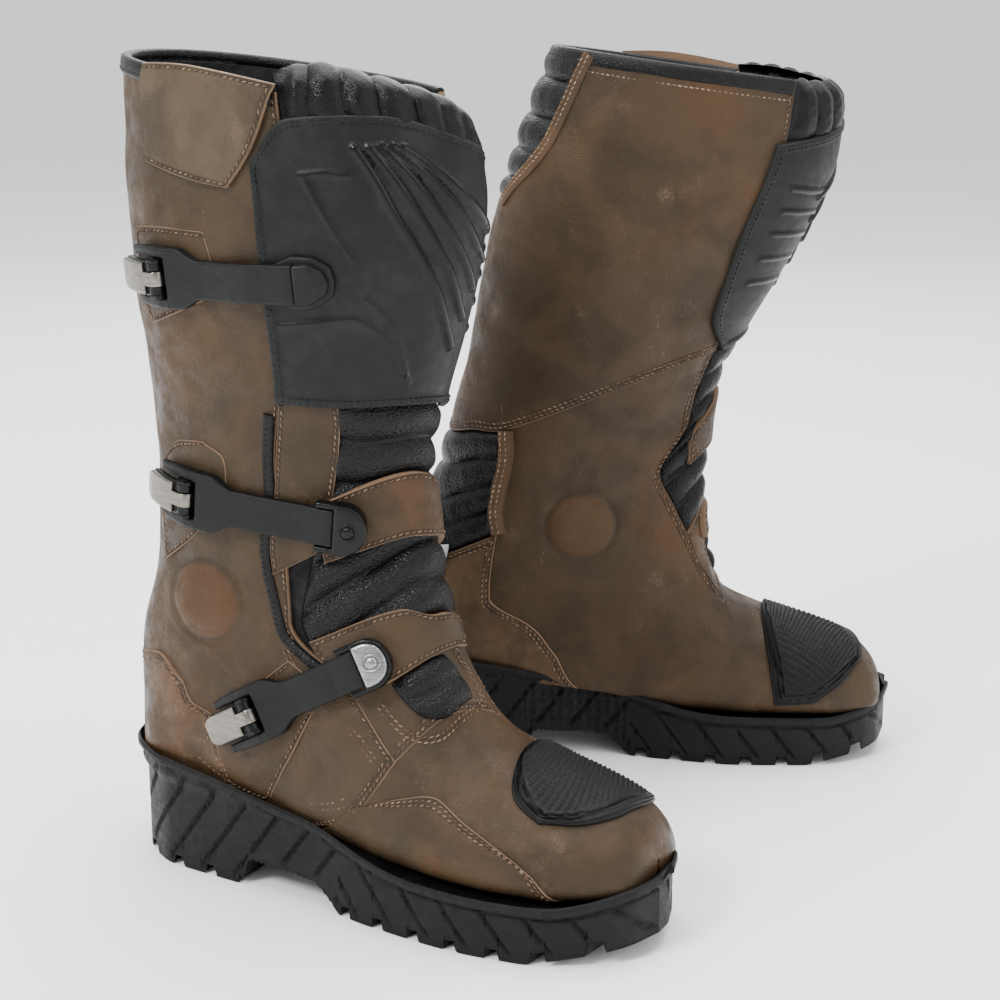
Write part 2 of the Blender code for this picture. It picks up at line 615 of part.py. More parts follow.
def strap(carrier):
    """Moulded strap: a nose that turns on the receiver's pin, a band, and a fork round the buckle's ears."""
    length = carrier.length
    nose_start = length - nose_radius - 7
    rise = base_wall + stack_gap

    def low(s):
        return rise * min(1.0, max(0.0, (s - nose_start + 9) / 8))

    pieces = [ring(carrier, carrier.flat(length, nose_height), nose_pin_radius + run_clearance, nose_radius,
                   -nose_width / 2, nose_width / 2)]
    pieces.append(band(carrier, nose_start - 1.5, length - nose_pin_radius - run_clearance - 0.5,
                       lambda s: low(s) + 0.2, lambda s: low(s) + strap_wall + 0.4,
                       -nose_width / 2 + 0.02, nose_width / 2 - 0.02, 4))
    pieces.append(band(carrier, 8, nose_start, low, lambda s: low(s) + strap_wall,
                       -strap_width / 2, strap_width / 2, 9))
    window = knuckle_radius + 2.2
    pieces.append(band(carrier, window, window + 6, constant(0.1), constant(5.4), -arm_outside, arm_outside, 3))
    for y0, y1 in ((-arm_outside, -arm_inside), (arm_inside, arm_outside)):
        profile = [(-8, 2.4), (-6, 0.3), (window + 0.5, 0.3), (window + 0.5, 5.2), (2, 7.4), (-6, 7.2), (-8, 5.4)]
        pieces.append(bar(carrier, profile, y0, y1))
    return pieces


def receiver(carrier, sunk):
    """Slab, two cheeks and the pin that the strap's nose turns on."""
    length = carrier.length
    centre = carrier.flat(length, nose_height)
    root, step = base_wall / 2, 0.3
    pieces = [band(carrier, length - 5.5, length + 12, constant(-sunk), constant(base_wall),
                   step - cheek_outside, cheek_outside - step, 4),
              rod(carrier, centre, nose_pin_radius, 2 * step - cheek_outside, cheek_outside - 2 * step),
              band(carrier, length + nose_radius + 1.2, length + 12, constant(root), lambda s: nose_height + 1.5
                   - 0.35 * (s - length), 1.5 * step - cheek_outside, cheek_outside - 1.5 * step, 3)]
    for y0, y1 in ((-cheek_outside, -cheek_inside), (cheek_inside, cheek_outside)):
        profile = [(length - 4.5, root), (length + 10, root), (length + 8, nose_height + 0.4),
                   (length + 3, nose_height + 3.0), (length - 2.5, nose_height + 3.0), (length - 4.5, nose_height)]
        pieces.append(bar(carrier, profile, y0, y1))
    return pieces


# Colour, roughness and metallic value of each finish
finishes = {
    "leather_brown": ((0.105, 0.062, 0.038), 0.55, 0.0),
    "leather_black": ((0.012, 0.012, 0.013), 0.42, 0.0),
    "collar_black": ((0.010, 0.010, 0.012), 0.28, 0.0),
    "plate_charcoal": ((0.022, 0.024, 0.024), 0.50, 0.0),
    "rubber_black": ((0.014, 0.014, 0.015), 0.62, 0.0),
    "strap_black": ((0.018, 0.018, 0.018), 0.42, 0.0),
    "steel": ((0.42, 0.39, 0.36), 0.30, 1.0),
    "lining_grey": ((0.045, 0.045, 0.048), 0.90, 0.0),
    "board_tan": ((0.30, 0.22, 0.14), 0.85, 0.0),
}
finish_of = {
    "outsole": "rubber_black", "insole_board": "board_tan", "shank": "steel", "footbed": "lining_grey",
    "lining": "lining_grey", "vamp": "leather_brown", "quarter_inner": "leather_brown",
    "side_outer": "leather_brown", "shaft_inner": "leather_brown", "heel_panel": "leather_brown",
    "calf_bellows": "leather_black", "ankle_bellows_rear": "leather_black", "ankle_bellows_front": "leather_black",
    "gaiter": "collar_black", "shin_plate": "plate_charcoal", "top_flap": "leather_brown",
    "toe_pad": "rubber_black", "ankle_strap_leather": "leather_brown", "instep_strap_leather": "leather_brown",
    "base": "strap_black", "lever": "steel", "strap": "strap_black", "receiver": "strap_black",
}

# Buckle and receiver of each strap: where they sit, what the receiver stands on, and where that begins
buckles = {
    "upper": {"buckle": (0.880, -116), "receiver": (0.868, -67), "deck": overlay_gap + plate_wall, "edge": -84},
    "middle": {"buckle": (0.733, -110), "receiver": (0.652, -46), "deck": overlay_gap + leather, "edge": -56},
    "lower": {"buckle": (0.557, -85), "receiver": (0.510, -50), "deck": overlay_gap + leather, "edge": -66},
}


def clear_scene():
    for block in list(bpy.data.objects):
        bpy.data.objects.remove(block, do_unlink=True)


def finish_material(name):
    material = bpy.data.materials.get(name)
    if material:
        return material
    colour, roughness, metallic = finishes[name]
    material = bpy.data.materials.new(name)
    material.use_nodes = True
    shader = material.node_tree.nodes["Principled BSDF"]
    shader.inputs["Base Color"].default_value = (*colour, 1.0)
    shader.inputs["Roughness"].default_value = roughness
    shader.inputs["Metallic"].default_value = metallic
    material.diffuse_color = (*colour, 1.0)
    return material


def mesh_of(name, points, faces):
    mesh = bpy.data.meshes.new(name)
    mesh.from_pydata([tuple(float(c) * 0.001 for c in p) for p in points], [], faces)
    mesh.validate()
    mesh.update()
    return mesh


def joined_mesh(name, pieces):
    """One body from overlapping pieces, by Boolean union."""
    helpers = []
    for i, (points, faces) in enumerate(pieces):
        helper = bpy.data.objects.new(f"{name}_piece_{i}", mesh_of(f"{name}_piece_{i}", points, faces))
        bpy.context.scene.collection.objects.link(helper)
        helper.hide_render = True
        helper.display_type = "WIRE"
        helpers.append(helper)
    for helper in helpers[1:]:
        modifier = helpers[0].modifiers.new("union", "BOOLEAN")
        modifier.operation = "UNION"
        modifier.object = helper
    bpy.context.view_layer.update()
    graph = bpy.context.evaluated_depsgraph_get()
    mesh = bpy.data.meshes.new_from_object(helpers[0].evaluated_get(graph))
    mesh.name = name
    for helper in helpers:
        bpy.data.objects.remove(helper, do_unlink=True)
    return mesh


class Boot:
    """One boot: pieces are shaped as for the right foot, then mirrored for the left one."""

    def __init__(self, side, place):
        self.side = side
        self.mirror = -1.0 if side == "left" else 1.0
        self.root = bpy.data.objects.new(f"{side}_boot_frame", None)
        bpy.context.scene.collection.objects.link(self.root)
        self.root.matrix_world = place

    def local(self, point):
        return Vector((point[0], point[1] * self.mirror, point[2])) * 0.001

    def add(self, name, mesh, finish, pivot=(0, 0, 0)):
        at = self.local(pivot)
        for vertex in mesh.vertices:
            vertex.co.y *= self.mirror
            vertex.co -= at
        if self.mirror < 0:
            mesh.flip_normals()
        mesh.shade_smooth()
        mesh.set_sharp_from_angle(angle=math.radians(35))
        mesh.materials.clear()
        mesh.materials.append(finish_material(finish))
        body = bpy.data.objects.new(f"{self.side}_{name}", mesh)
        bpy.context.scene.collection.objects.link(body)
        body.parent = self.root
        body.location = at

    def add_solid(self, name, solid, pivot=(0, 0, 0)):
        self.add(name, mesh_of(name, *solid), finish_of[name], pivot)


def build_boot(side, place):
    boot = Boot(side, place)
    lean = shaft_lean[side]
    board_low = rest_gap
    boot.add_solid("outsole", outsole())
    boot.add_solid("insole_board", flat_layer(20, sole_length - 34, board_low, board_low + board_wall, 21, 28))
    boot.add_solid("shank", shank_strip())
    boot.add_solid("lining", lining(lean))
    bed_low = lining_floor + lining_wall + stack_gap + 0.06 * (heel_rise - forefoot_rise)
    boot.add_solid("footbed", flat_layer(28, sole_length - 66, bed_low, bed_low + footbed_wall, 24, 20))
    for name, solid in leather_panels(lean).items():
        boot.add_solid(name, solid)
    overlays = overlay_panels(lean)
    hinge = skin(0.95, 61.5, overlay_gap + plate_wall / 2, lean)
    flap_hinge = skin(0.966, -79, overlay_gap + leather / 2, lean)
    carriers = {name: Carrier(v["buckle"], v["receiver"], v["deck"], v["edge"], lean) for name, v in buckles.items()}
    for name, solid in overlays.items():
        if name == "shin_plate":
            pieces = [solid] + receiver(carriers["upper"], strap_lift + 0.09 * strap_width)
            boot.add(name, joined_mesh(name, pieces), finish_of[name], hinge)
        else:
            boot.add_solid(name, solid, flap_hinge if name == "top_flap" else (0, 0, 0))
    for name, carrier in carriers.items():
        pin = carrier.space(carrier.flat(0, pin_height), 0)
        turn = carrier.space(carrier.flat(carrier.length, nose_height), 0)
        boot.add(f"{name}_base", joined_mesh(f"{name}_base", buckle_base(carrier)), finish_of["base"])
        boot.add(f"{name}_lever", joined_mesh(f"{name}_lever", buckle_lever(carrier)), finish_of["lever"], pin)
        boot.add(f"{name}_strap", joined_mesh(f"{name}_strap", strap(carrier)), finish_of["strap"], turn)
        if name != "upper":
            boot.add(f"{name}_receiver", joined_mesh(f"{name}_receiver", receiver(carrier, 0.0)),
                     finish_of["receiver"])
    return boot


def main():
    clear_scene()
    turn = math.radians(toe_out)
    right = Matrix.Rotation(-turn, 4, "Z")
    offset = right.to_3x3() @ Vector((stance_lead, stance_width, 0)) * 0.001
    left = Matrix.Translation(offset) @ Matrix.Rotation(turn, 4, "Z")
    boots = [build_boot("right", right), build_boot("left", left)]
    bpy.context.view_layer.update()
    corners = np.array([body.matrix_world @ vertex.co for body in bpy.data.objects if body.type == "MESH"
                        for vertex in body.data.vertices])
    middle_of = (corners.min(axis=0) + corners.max(axis=0)) / 2
    for boot in boots:
        boot.root.location -= Vector((middle_of[0], middle_of[1], corners[:, 2].min()))
    bpy.context.view_layer.update()


main()
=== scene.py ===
import json
import math

import bpy
import numpy as np
from mathutils import Matrix, Vector

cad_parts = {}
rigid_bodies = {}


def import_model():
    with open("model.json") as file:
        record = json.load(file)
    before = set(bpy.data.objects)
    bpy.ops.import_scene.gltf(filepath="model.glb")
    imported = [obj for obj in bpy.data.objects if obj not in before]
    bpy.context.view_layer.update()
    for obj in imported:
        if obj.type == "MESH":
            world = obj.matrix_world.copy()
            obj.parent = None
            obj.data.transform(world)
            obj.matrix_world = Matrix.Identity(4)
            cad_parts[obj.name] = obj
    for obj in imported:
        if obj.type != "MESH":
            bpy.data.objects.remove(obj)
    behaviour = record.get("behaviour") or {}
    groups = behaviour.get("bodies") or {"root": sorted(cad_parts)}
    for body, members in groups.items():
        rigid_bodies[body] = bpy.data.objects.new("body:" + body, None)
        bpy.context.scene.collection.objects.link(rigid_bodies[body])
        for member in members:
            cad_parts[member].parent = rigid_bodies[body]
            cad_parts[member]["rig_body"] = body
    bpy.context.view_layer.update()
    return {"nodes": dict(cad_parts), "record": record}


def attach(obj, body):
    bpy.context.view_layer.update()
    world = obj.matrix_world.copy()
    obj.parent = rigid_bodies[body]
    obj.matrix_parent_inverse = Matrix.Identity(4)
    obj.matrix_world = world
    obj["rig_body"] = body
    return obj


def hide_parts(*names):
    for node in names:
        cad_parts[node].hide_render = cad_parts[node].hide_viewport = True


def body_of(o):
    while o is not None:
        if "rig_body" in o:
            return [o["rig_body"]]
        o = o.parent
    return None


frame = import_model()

print("frame loaded:", len(frame["nodes"]), "solids")

# lengths are in millimetres until a piece is placed; the design's own curves are repeated here
boot = {
    "soleLength": 310.0,
    "ballWidth": 99.0, "ankleWidth": 83.0, "calfWidth": 128.0,
    "heelRise": 50.0, "forefootRise": 29.0, "toeRise": 34.0,
    "heelBlock": 84.0, "archRise": 15.0, "toeSpring": 10.0,
    "restGap": 0.5, "overlayGap": 1.7, "plateWall": 2.6,
    "heelTread": 40.0,    # how far from the back the tread point is that places each boot
    "lean": {"right": 0.0, "left": 81.0},
}
stations = (0.0, 0.012, 0.05, 0.11, 0.19, 0.28, 0.37, 0.46, 0.54, 0.60, 0.66, 0.72, 0.79, 0.86, 0.93,
            1.0, 1.06)
frontLine = ((305, 44), (303, 52), (292, 66), (266, 77), (234, 87), (208, 99), (197, 118), (188, 144),
             (182, 174), (178, 201), (175, 228), (179, 260), (189, 297), (197, 330), (200, 360),
             (190, 405),
             (184, 428))
backLine = ((305, 42), (305, 36), (302, 31), (286, 28), (260, 27), (224, 27), (180, 28), (125, 32),
            (60, 38), (4, 53), (4, 112), (20, 176), (22, 241), (16, 302), (13, 360), (16, 428), (20, 452))
ball, ankle, calf = boot["ballWidth"] / 2, boot["ankleWidth"] / 2, boot["calfWidth"] / 2
outerHalf = (1, 16, ball * 0.63, ball * 0.84, ball * 0.96, ball, ball * 0.98, ankle * 1.08, ankle * 1.01,
             ankle, ankle * 1.02, (2 * ankle + calf) / 3.2, ankle * 0.53 + calf * 0.47, calf * 0.91,
             calf * 0.97,
             calf, calf)
innerShare = (1, 1, 1, 0.97, 0.94, 0.96, 0.94, 0.96, 0.98) + (1,) * 8
middleShift = (4, 5, 6, 5, 3) + (0,) * 12
widestAt = (.60, .62, .65, .70, .74, .76, .74, .70, .66, .62, .58, .54, .50, .50, .50, .50, .50)
frontRoundness = (2.0,) * 3 + (2.1,) * 14
backRoundness = (2.5, 2.7, 3.0, 3.2, 3.4, 3.4, 3.2, 3.0, 2.6, 2.4) + (2.2,) * 7


def smoothCurve(knots, values):
    # shape-preserving cubic through the knots
    x, y = np.asarray(knots, float), np.asarray(values, float)
    step = np.diff(x)
    slope = np.diff(y) / step
    tangent = np.zeros_like(y)
    for i in range(1, len(x) - 1):
        if slope[i - 1] * slope[i] > 0:
            first, second = 2 * step[i] + step[i - 1], step[i] + 2 * step[i - 1]
            tangent[i] = (first + second) / (first / slope[i - 1] + second / slope[i])
    tangent[0], tangent[-1] = slope[0], slope[-1]

    def read(at):
        at = np.clip(np.asarray(at, float), x[0], x[-1])
        i = np.clip(np.searchsorted(x, at, side="right") - 1, 0, len(x) - 2)
        s = (at - x[i]) / step[i]
        lead = (1 + 2 * s) * (1 - s) ** 2 * y[i] + s * (1 - s) ** 2 * step[i] * tangent[i]
        return lead + s * s * (3 - 2 * s) * y[i + 1] + s * s * (s - 1) * step[i] * tangent[i + 1]

    return read


frontX = smoothCurve(stations, [p[0] for p in frontLine])
frontZ = smoothCurve(stations, [p[1] for p in frontLine])
backX = smoothCurve(stations, [p[0] for p in backLine])
backZ = smoothCurve(stations, [p[1] for p in backLine])
halfOuter = smoothCurve(stations, outerHalf)
halfInner = smoothCurve(stations, [w * k for w, k in zip(outerHalf, innerShare)])
middleAt = smoothCurve(stations, middleShift)
widestShare = smoothCurve(stations, widestAt)
frontPower = smoothCurve(stations, frontRoundness)
backPower = smoothCurve(stations, backRoundness)
soleTop = smoothCurve(
    [0, 60, 130, 200, 270, boot["soleLength"]],
    [boot["heelRise"], boot["heelRise"] - 2, boot["heelRise"] - 8, boot["forefootRise"],
     boot["forefootRise"] - 2, boot["toeRise"]])


def lastPoint(t, degrees, lean):
    # the upper's outer face: degrees run from the front ridge, inner side positive
    t = np.asarray(t, float)
    angle = np.radians(np.asarray(degrees, float))
    ca, sa = np.cos(angle), np.sin(angle)
    power = np.where(ca >= 0, frontPower(t), backPower(t))
    share = widestShare(t)
    roundCa = np.abs(ca) ** (2 / power)
    along = np.where(ca >= 0, share * (1 - roundCa), share + (1 - share) * roundCa)
    width = np.where(sa >= 0, halfInner(t), halfOuter(t))
    x = frontX(t) + (backX(t) - frontX(t)) * along
    z = frontZ(t) + (backZ(t) - frontZ(t)) * along
    y = middleAt(t) + width * np.sign(sa) * np.abs(sa) ** (2 / power)
    x = x + lean * np.clip((z - 110) / 310, 0, 1.5) ** 1.3
    return np.stack([x, y, z], -1)


def lastNormal(t, degrees, lean):
    t, d = np.asarray(t, float), np.asarray(degrees, float)
    along = lastPoint(np.minimum(t + 0.004, 1.06), d, lean) - lastPoint(np.maximum(t - 0.004, 0.003), d,
                                                                        lean)
    around = lastPoint(t, d + 1.5, lean) - lastPoint(t, d - 1.5, lean)
    normal = np.cross(around, along)
    return normal / np.maximum(np.linalg.norm(normal, axis=-1, keepdims=True), 1e-9)


def skin(t, degrees, offset, lean):
    offset = np.asarray(offset, float)
    return lastPoint(t, degrees, lean) + offset[..., None] * lastNormal(t, degrees, lean)


def shifted(path, distance, lean):
    # a line on the boot moved sideways, to its left as seen from outside
    t, a = path[:, 0], path[:, 1]
    here = lastPoint(t, a, lean)
    tangent = np.gradient(here, axis=0)
    tangent /= np.maximum(np.linalg.norm(tangent, axis=1, keepdims=True), 1e-9)
    side = np.cross(lastNormal(t, a, lean), tangent)
    byT = (lastPoint(t + 0.004, a, lean) - lastPoint(t - 0.004, a, lean)) / 0.008
    byA = (lastPoint(t, a + 1, lean) - lastPoint(t, a - 1, lean)) / 2
    tt, ta, aa = (byT * byT).sum(1), (byT * byA).sum(1), (byA * byA).sum(1)
    st, sa = (side * byT).sum(1), (side * byA).sum(1)
    det = np.maximum(tt * aa - ta * ta, 1e-9)
    return np.stack([t + distance * (st * aa - sa * ta) / det,
                     a + distance * (sa * tt - st * ta) / det], 1)


def bisect(low, high, isBelow):
    for _ in range(40):
        half = (low + high) / 2
        low, high = (low, half) if isBelow(half) else (half, high)
    return (low + high) / 2


def aboveSole(t, degrees):
    p = lastPoint(t, degrees, 0.0)
    return p[..., 2] - soleTop(p[..., 0]) - boot["restGap"]


def featherAngle(t, side):
    return side * bisect(15.0, 179.0, lambda a: aboveSole(t, side * a) < 0)


def featherStation(degrees):
    return bisect(0.68, 0.30, lambda t: aboveSole(t, degrees) < 0)


def featherAlong(t0, t1, side, count=14):
    return [(t, featherAngle(t, side)) for t in np.linspace(t0, t1, count)]


def heelFeather(innerT, outerT):
    inner, outer = featherAngle(0.56, 1), 360 + featherAngle(0.56, -1)
    around = [(featherStation(a), a) for a in np.linspace(inner, outer, 12)]
    outerSide = [(t, 360 + a) for t, a in featherAlong(0.56, outerT, -1, 4)]
    return featherAlong(innerT, 0.56, 1, 6) + around[1:-1] + outerSide


# seams that neighbouring pieces share, as (station, degrees)
outerFootEnd = (0.46, featherAngle(0.46, -1))
innerVampEnd = (0.265, featherAngle(0.265, 1))
outerHeelEnd = (0.524, featherAngle(0.524, -1))
innerHeelEnd = (0.480, featherAngle(0.480, 1))
vampBack = [outerFootEnd, (0.413, -83), (0.398, -63), (0.343, -21), (0.312, 0), (0.295, 20), (0.275, 60),
            innerVampEnd]
outerFrontEdge = [(0.398, -63), (0.506, -60), (0.577, -64), (0.651, -66), (0.716, -75), (0.765, -77),
                  (0.87, -72), (1.0, -70)]
innerFrontEdge = [(0.295, 20), (0.38, 26), (0.464, 30), (0.54, 36), (0.599, 40), (0.639, 28), (0.72, 32)]
innerShinEdge = [(0.72, 32), (0.778, 44), (0.88, 50), (1.0, 52)]
middleSeam = [(0.72, 32), (0.732, 84), (0.735, 122), (0.744, 147), (0.745, 180), (0.745, 195)]
ankleNotch = [(0.65, 98), (0.70, 112), (0.735, 122)]
innerHeelSeam = [innerHeelEnd, (0.52, 100), (0.564, 92), (0.60, 94), (0.65, 98)]
outerHeelSeam = [outerHeelEnd, (0.55, -108), (0.575, -93), (0.60, -98), (0.621, -104), (0.649, -125),
                 (0.66, -165)]
calfFront = [(0.907, 166), (0.95, 142), (1.0, 137)]
bellowsTop = [(0.765, -77), (0.745, -40), (0.725, 0), (0.72, 32)]


def turned(line):
    return [(t, a + 360) for t, a in line]


def subLine(line, first, last):
    return line[line.index(first):line.index(last) + 1]


def densePath(line, step=1.0):
    # (station, degrees) points evenly along a smooth line
    knots = np.array([lastPoint(t, a, 0.0) for t, a in line])
    run = np.concatenate([[0], np.cumsum(np.linalg.norm(np.diff(knots, axis=0), axis=1))])
    readT, readA = smoothCurve(run, [p[0] for p in line]), smoothCurve(run, [p[1] for p in line])
    at = np.linspace(0, run[-1], max(3, int(run[-1] / step)))
    return np.stack([readT(at), readA(at)], 1)


class Patch:
    # a four-sided field on the boot, read by u to the right and v upwards
    def __init__(self, bottom, right, top, left, roundness=0.0):
        self.roundness = roundness
        self.readers = []
        for line in (bottom, right, top, left):
            knots = np.array([lastPoint(t, a, 0.0) for t, a in line])
            run = np.concatenate([[0], np.cumsum(np.linalg.norm(np.diff(knots, axis=0), axis=1))])
            self.readers.append((smoothCurve(run / run[-1], [p[0] for p in line]),
                                 smoothCurve(run / run[-1], [p[1] for p in line])))

    def at(self, u, v):
        u, v = np.broadcast_arrays(np.asarray(u, float), np.asarray(v, float))
        if self.roundness:
            x, y = 2 * u - 1, 2 * v - 1
            u = (1 + x * np.sqrt(1 - self.roundness * y * y / 2)) / 2
            v = (1 + y * np.sqrt(1 - self.roundness * x * x / 2)) / 2
        low, east, high, west = [(lambda s, r=r: np.stack([r[0](s), r[1](s)], -1)) for r in self.readers]
        uu, vv = u[..., None], v[..., None]
        corners = ((1 - uu) * (1 - vv) * low(0) + uu * (1 - vv) * low(1)
                   + (1 - uu) * vv * high(0) + uu * vv * high(1))
        grid = (1 - vv) * low(u) + vv * high(u) + (1 - uu) * west(v) + uu * east(v) - corners
        return grid[..., 0], grid[..., 1]

    def row(self, edge, inset, lean, trim=None):
        # a line that runs beside an edge, at a distance from it
        trim = inset if trim is None else trim
        s = np.linspace(0, 1, 240)
        across = np.linspace(0, 1, 24)
        if edge in "bt":
            u, v = np.meshgrid(s, across, indexing="ij")
        else:
            v, u = np.meshgrid(s, across, indexing="ij")
        p = lastPoint(*self.at(u, v), lean)
        run = np.concatenate([np.zeros((len(s), 1)),
                              np.cumsum(np.linalg.norm(np.diff(p, axis=1), axis=2), 1)], 1)
        if edge in "tr":
            run = run[:, -1:] - run
        sign = -1 if edge in "tr" else 1
        share = np.array([np.interp(inset, run[i][::sign], across[::sign]) for i in range(len(s))])
        t, a = self.at(s, share) if edge in "bt" else self.at(share, s)
        path = lastPoint(t, a, lean)
        length = np.concatenate([[0], np.cumsum(np.linalg.norm(np.diff(path, axis=0), axis=1))])
        keep = (length >= trim) & (length <= length[-1] - trim)
        return np.stack([t, a], 1)[keep]


# pieces
mounts = {m["name"]: Vector(m["pos_m"]) for m in frame["record"]["mounts"]}
places = {}
for side in ("right", "left"):
    heel, forefoot = mounts[side + "_heel_tread"], mounts[side + "_forefoot_tread"]
    along = (forefoot - heel).normalized()
    place = Matrix((along, Vector((0, 0, 1)).cross(along), (0, 0, 1))).transposed().to_4x4()
    place.translation = heel - along * boot["heelTread"] * 0.001
    places[side] = place


def toWorld(side, points):
    p = np.array(points, float).reshape(-1, 3) * 0.001
    if side == "left":
        p[:, 1] *= -1
    m = np.array(places[side])
    return p @ m[:3, :3].T + m[:3, 3]


def addPiece(name, side, points, faces, finish, body="boot", slot="brown_leather", values=None,
             sharp=40, solid=True):
    points = np.asarray(points, float).reshape(-1, 3)
    faces = [list(map(int, f)) for f in faces]
    if solid:
        volume = 0.0
        quads = np.array([(f[0], f[i], f[i + 1]) for f in faces for i in range(1, len(f) - 1)])
        a, b, c = points[quads[:, 0]], points[quads[:, 1]], points[quads[:, 2]]
        volume = float(np.einsum("ij,ij->", a - points[0], np.cross(b - points[0], c - points[0])))
        if volume < 0:
            faces = [f[::-1] for f in faces]
    if side == "left":
        faces = [f[::-1] for f in faces]
    mesh = bpy.data.meshes.new(name)
    mesh.from_pydata(toWorld(side, points).tolist(), [], faces)
    mesh.update()
    mesh.shade_smooth()
    mesh.set_sharp_from_angle(angle=math.radians(sharp))
    for key, value in (values or {}).items():
        mesh.attributes.new(key, "FLOAT", "POINT").data.foreach_set("value",
                                                                    np.asarray(value, np.float32).ravel())
    mesh.materials.append(finish)
    piece = bpy.data.objects.new(name, mesh)
    bpy.context.scene.collection.objects.link(piece)
    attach(piece, f"{side}_{body}")
    return piece


def quadGrid(rows, columns, start=0, wrap=False):
    i, j = np.meshgrid(np.arange(rows - 1), np.arange(columns if wrap else columns - 1), indexing="ij")
    k = (j + 1) % columns
    return (np.stack([i * columns + j, i * columns + k, (i + 1) * columns + k, (i + 1) * columns + j], -1)
            .reshape(-1, 4) + start)


def closedSheet(outer, inner):
    rows, columns = outer.shape[:2]
    count = rows * columns
    front = quadGrid(rows, columns)
    loop = list(range(columns)) + [i * columns + columns - 1 for i in range(1, rows)]
    loop += [(rows - 1) * columns + j for j in range(columns - 2, -1, -1)]
    loop += [i * columns for i in range(rows - 2, 0, -1)]
    loop = np.array(loop)
    after = np.roll(loop, -1)
    walls = np.stack([loop, loop + count, after + count, after], 1)
    return (np.concatenate([outer.reshape(-1, 3), inner.reshape(-1, 3)]),
            np.concatenate([front, front[:, ::-1] + count, walls]))


def spread(length, step, fineStart, fineEnd):
    # distances along an edge, closer together where the edge is rounded
    near = [0, 0.12, 0.35, 0.7, 1.2, 1.9, 2.8]
    plain = np.linspace(0, length, max(4, int(length / step)) + 1)
    at = set(plain[1:-1]) | {0.0, length}
    if fineStart:
        at = {d for d in at if d > 3.6} | set(near)
    if fineEnd:
        at = {d for d in at if d < length - 3.6} | {length - d for d in near}
        if not fineStart:
            at |= {0.0}
    return np.array(sorted(at)) / length


def waves(p, size, seed):
    # soft unevenness, about -1 to 1
    rng = np.random.default_rng(seed)
    total = np.zeros(p.shape[:-1])
    for _ in range(7):
        direction = rng.normal(size=3)
        direction /= np.linalg.norm(direction)
        total += np.sin(p @ direction * (2 * math.pi / (size * rng.uniform(0.6, 1.6)))
                        + rng.uniform(0, 6.28))
    return total / 4


stitchWork = {}


def sew(side, body, thread, path, height):
    if len(path) > 4:
        stitchWork.setdefault((side, body, thread), []).append((path, height))


def panelPiece(name, side, patch, finish, style):
    # a leather or moulded panel: rounded free edges, sewn rows pressed in, and its own relief
    lean = boot["lean"][side]
    free = style.get("free", "brtl")
    step = style.get("step", 2.2)
    coarse = np.linspace(0, 1, 16)
    rowsAt = lastPoint(*patch.at(coarse[None, :], coarse[:, None]), lean)
    runU = np.linalg.norm(np.diff(rowsAt, axis=1), axis=2).sum(1).max()
    runV = np.linalg.norm(np.diff(rowsAt, axis=0), axis=2).sum(0).max()
    u = spread(runU, step, "l" in free, "r" in free)
    v = spread(runV, step, "b" in free, "t" in free)
    t, a = patch.at(u[None, :], v[:, None])
    base = lastPoint(t, a, lean)
    du = np.pad(np.cumsum(np.linalg.norm(np.diff(base, axis=1), axis=2), 1), ((0, 0), (1, 0)))
    dv = np.pad(np.cumsum(np.linalg.norm(np.diff(base, axis=0), axis=2), 0), ((1, 0), (0, 0)))
    dist = {"l": du, "r": du[:, -1:] - du, "b": dv, "t": dv[-1:] - dv}
    edge = np.full(base.shape[:2], 40.0)
    for e in free:
        edge = np.minimum(edge, dist[e])
    r = style.get("round", 0.9)
    drop = r - np.sqrt(np.maximum(r * r - (r - np.minimum(edge, r)) ** 2, 0))
    high = style["high"] - drop
    row = np.zeros(base.shape[:2])
    for e, inset in style.get("rows", ()):
        row = np.maximum(row, np.exp(-((dist[e] - inset) / 0.95) ** 2))
    high = high - 0.45 * row
    values = {"edge": edge, "row": row}
    if "relief" in style:
        extra = style["relief"](base, t, a, edge, dist)
        if isinstance(extra, tuple):
            extra, more = extra
            values.update(more)
        high = high + extra
    high = high + style.get("uneven", 0.35) * waves(base, 34.0,
                                                    style.get("seed", 3)) * np.clip(edge / 10, 0, 1)
    outer, inner = skin(t, a, high, lean), skin(t, a, np.full(t.shape, float(style["low"])), lean)
    if style.get("onSole"):
        floor = soleTop(base[..., 0]) + 0.2
        outer[..., 2], inner[..., 2] = np.maximum(outer[..., 2], floor), np.maximum(inner[..., 2], floor)
    points, faces = closedSheet(outer, inner)
    values = {k: np.concatenate([np.ravel(x), np.ravel(x) if k != "edge" else np.zeros(x.size)])
              for k, x in values.items()}
    piece = addPiece(name, side, points, faces, finish, style.get("body", "boot"), style["slot"], values,
                     style.get("sharp", 50))
    for e, inset in style.get("rows", ()):
        sew(side, style.get("body", "boot"), style.get("thread", "brown"),
            patch.row(e, inset, lean, style.get("trim", inset)), style["high"] + 0.05)
    return piece


def sweepPiece(name, side, path, profile, finish, slot, body="boot", values=None):
    # a closed profile of (across, out) carried along a line on the boot
    lean = boot["lean"][side]
    loops = []
    for across, out in profile:
        moved = shifted(path, across, lean)
        loops.append(skin(moved[:, 0], moved[:, 1], np.full(len(path), float(out)), lean))
    points = np.stack(loops, 1)
    rows, columns = points.shape[:2]
    faces = quadGrid(rows, columns, 0, True).tolist()
    faces += [list(range(columns))[::-1], list(range((rows - 1) * columns, rows * columns))]
    return addPiece(name, side, points, faces, finish, body, slot, values, 60)


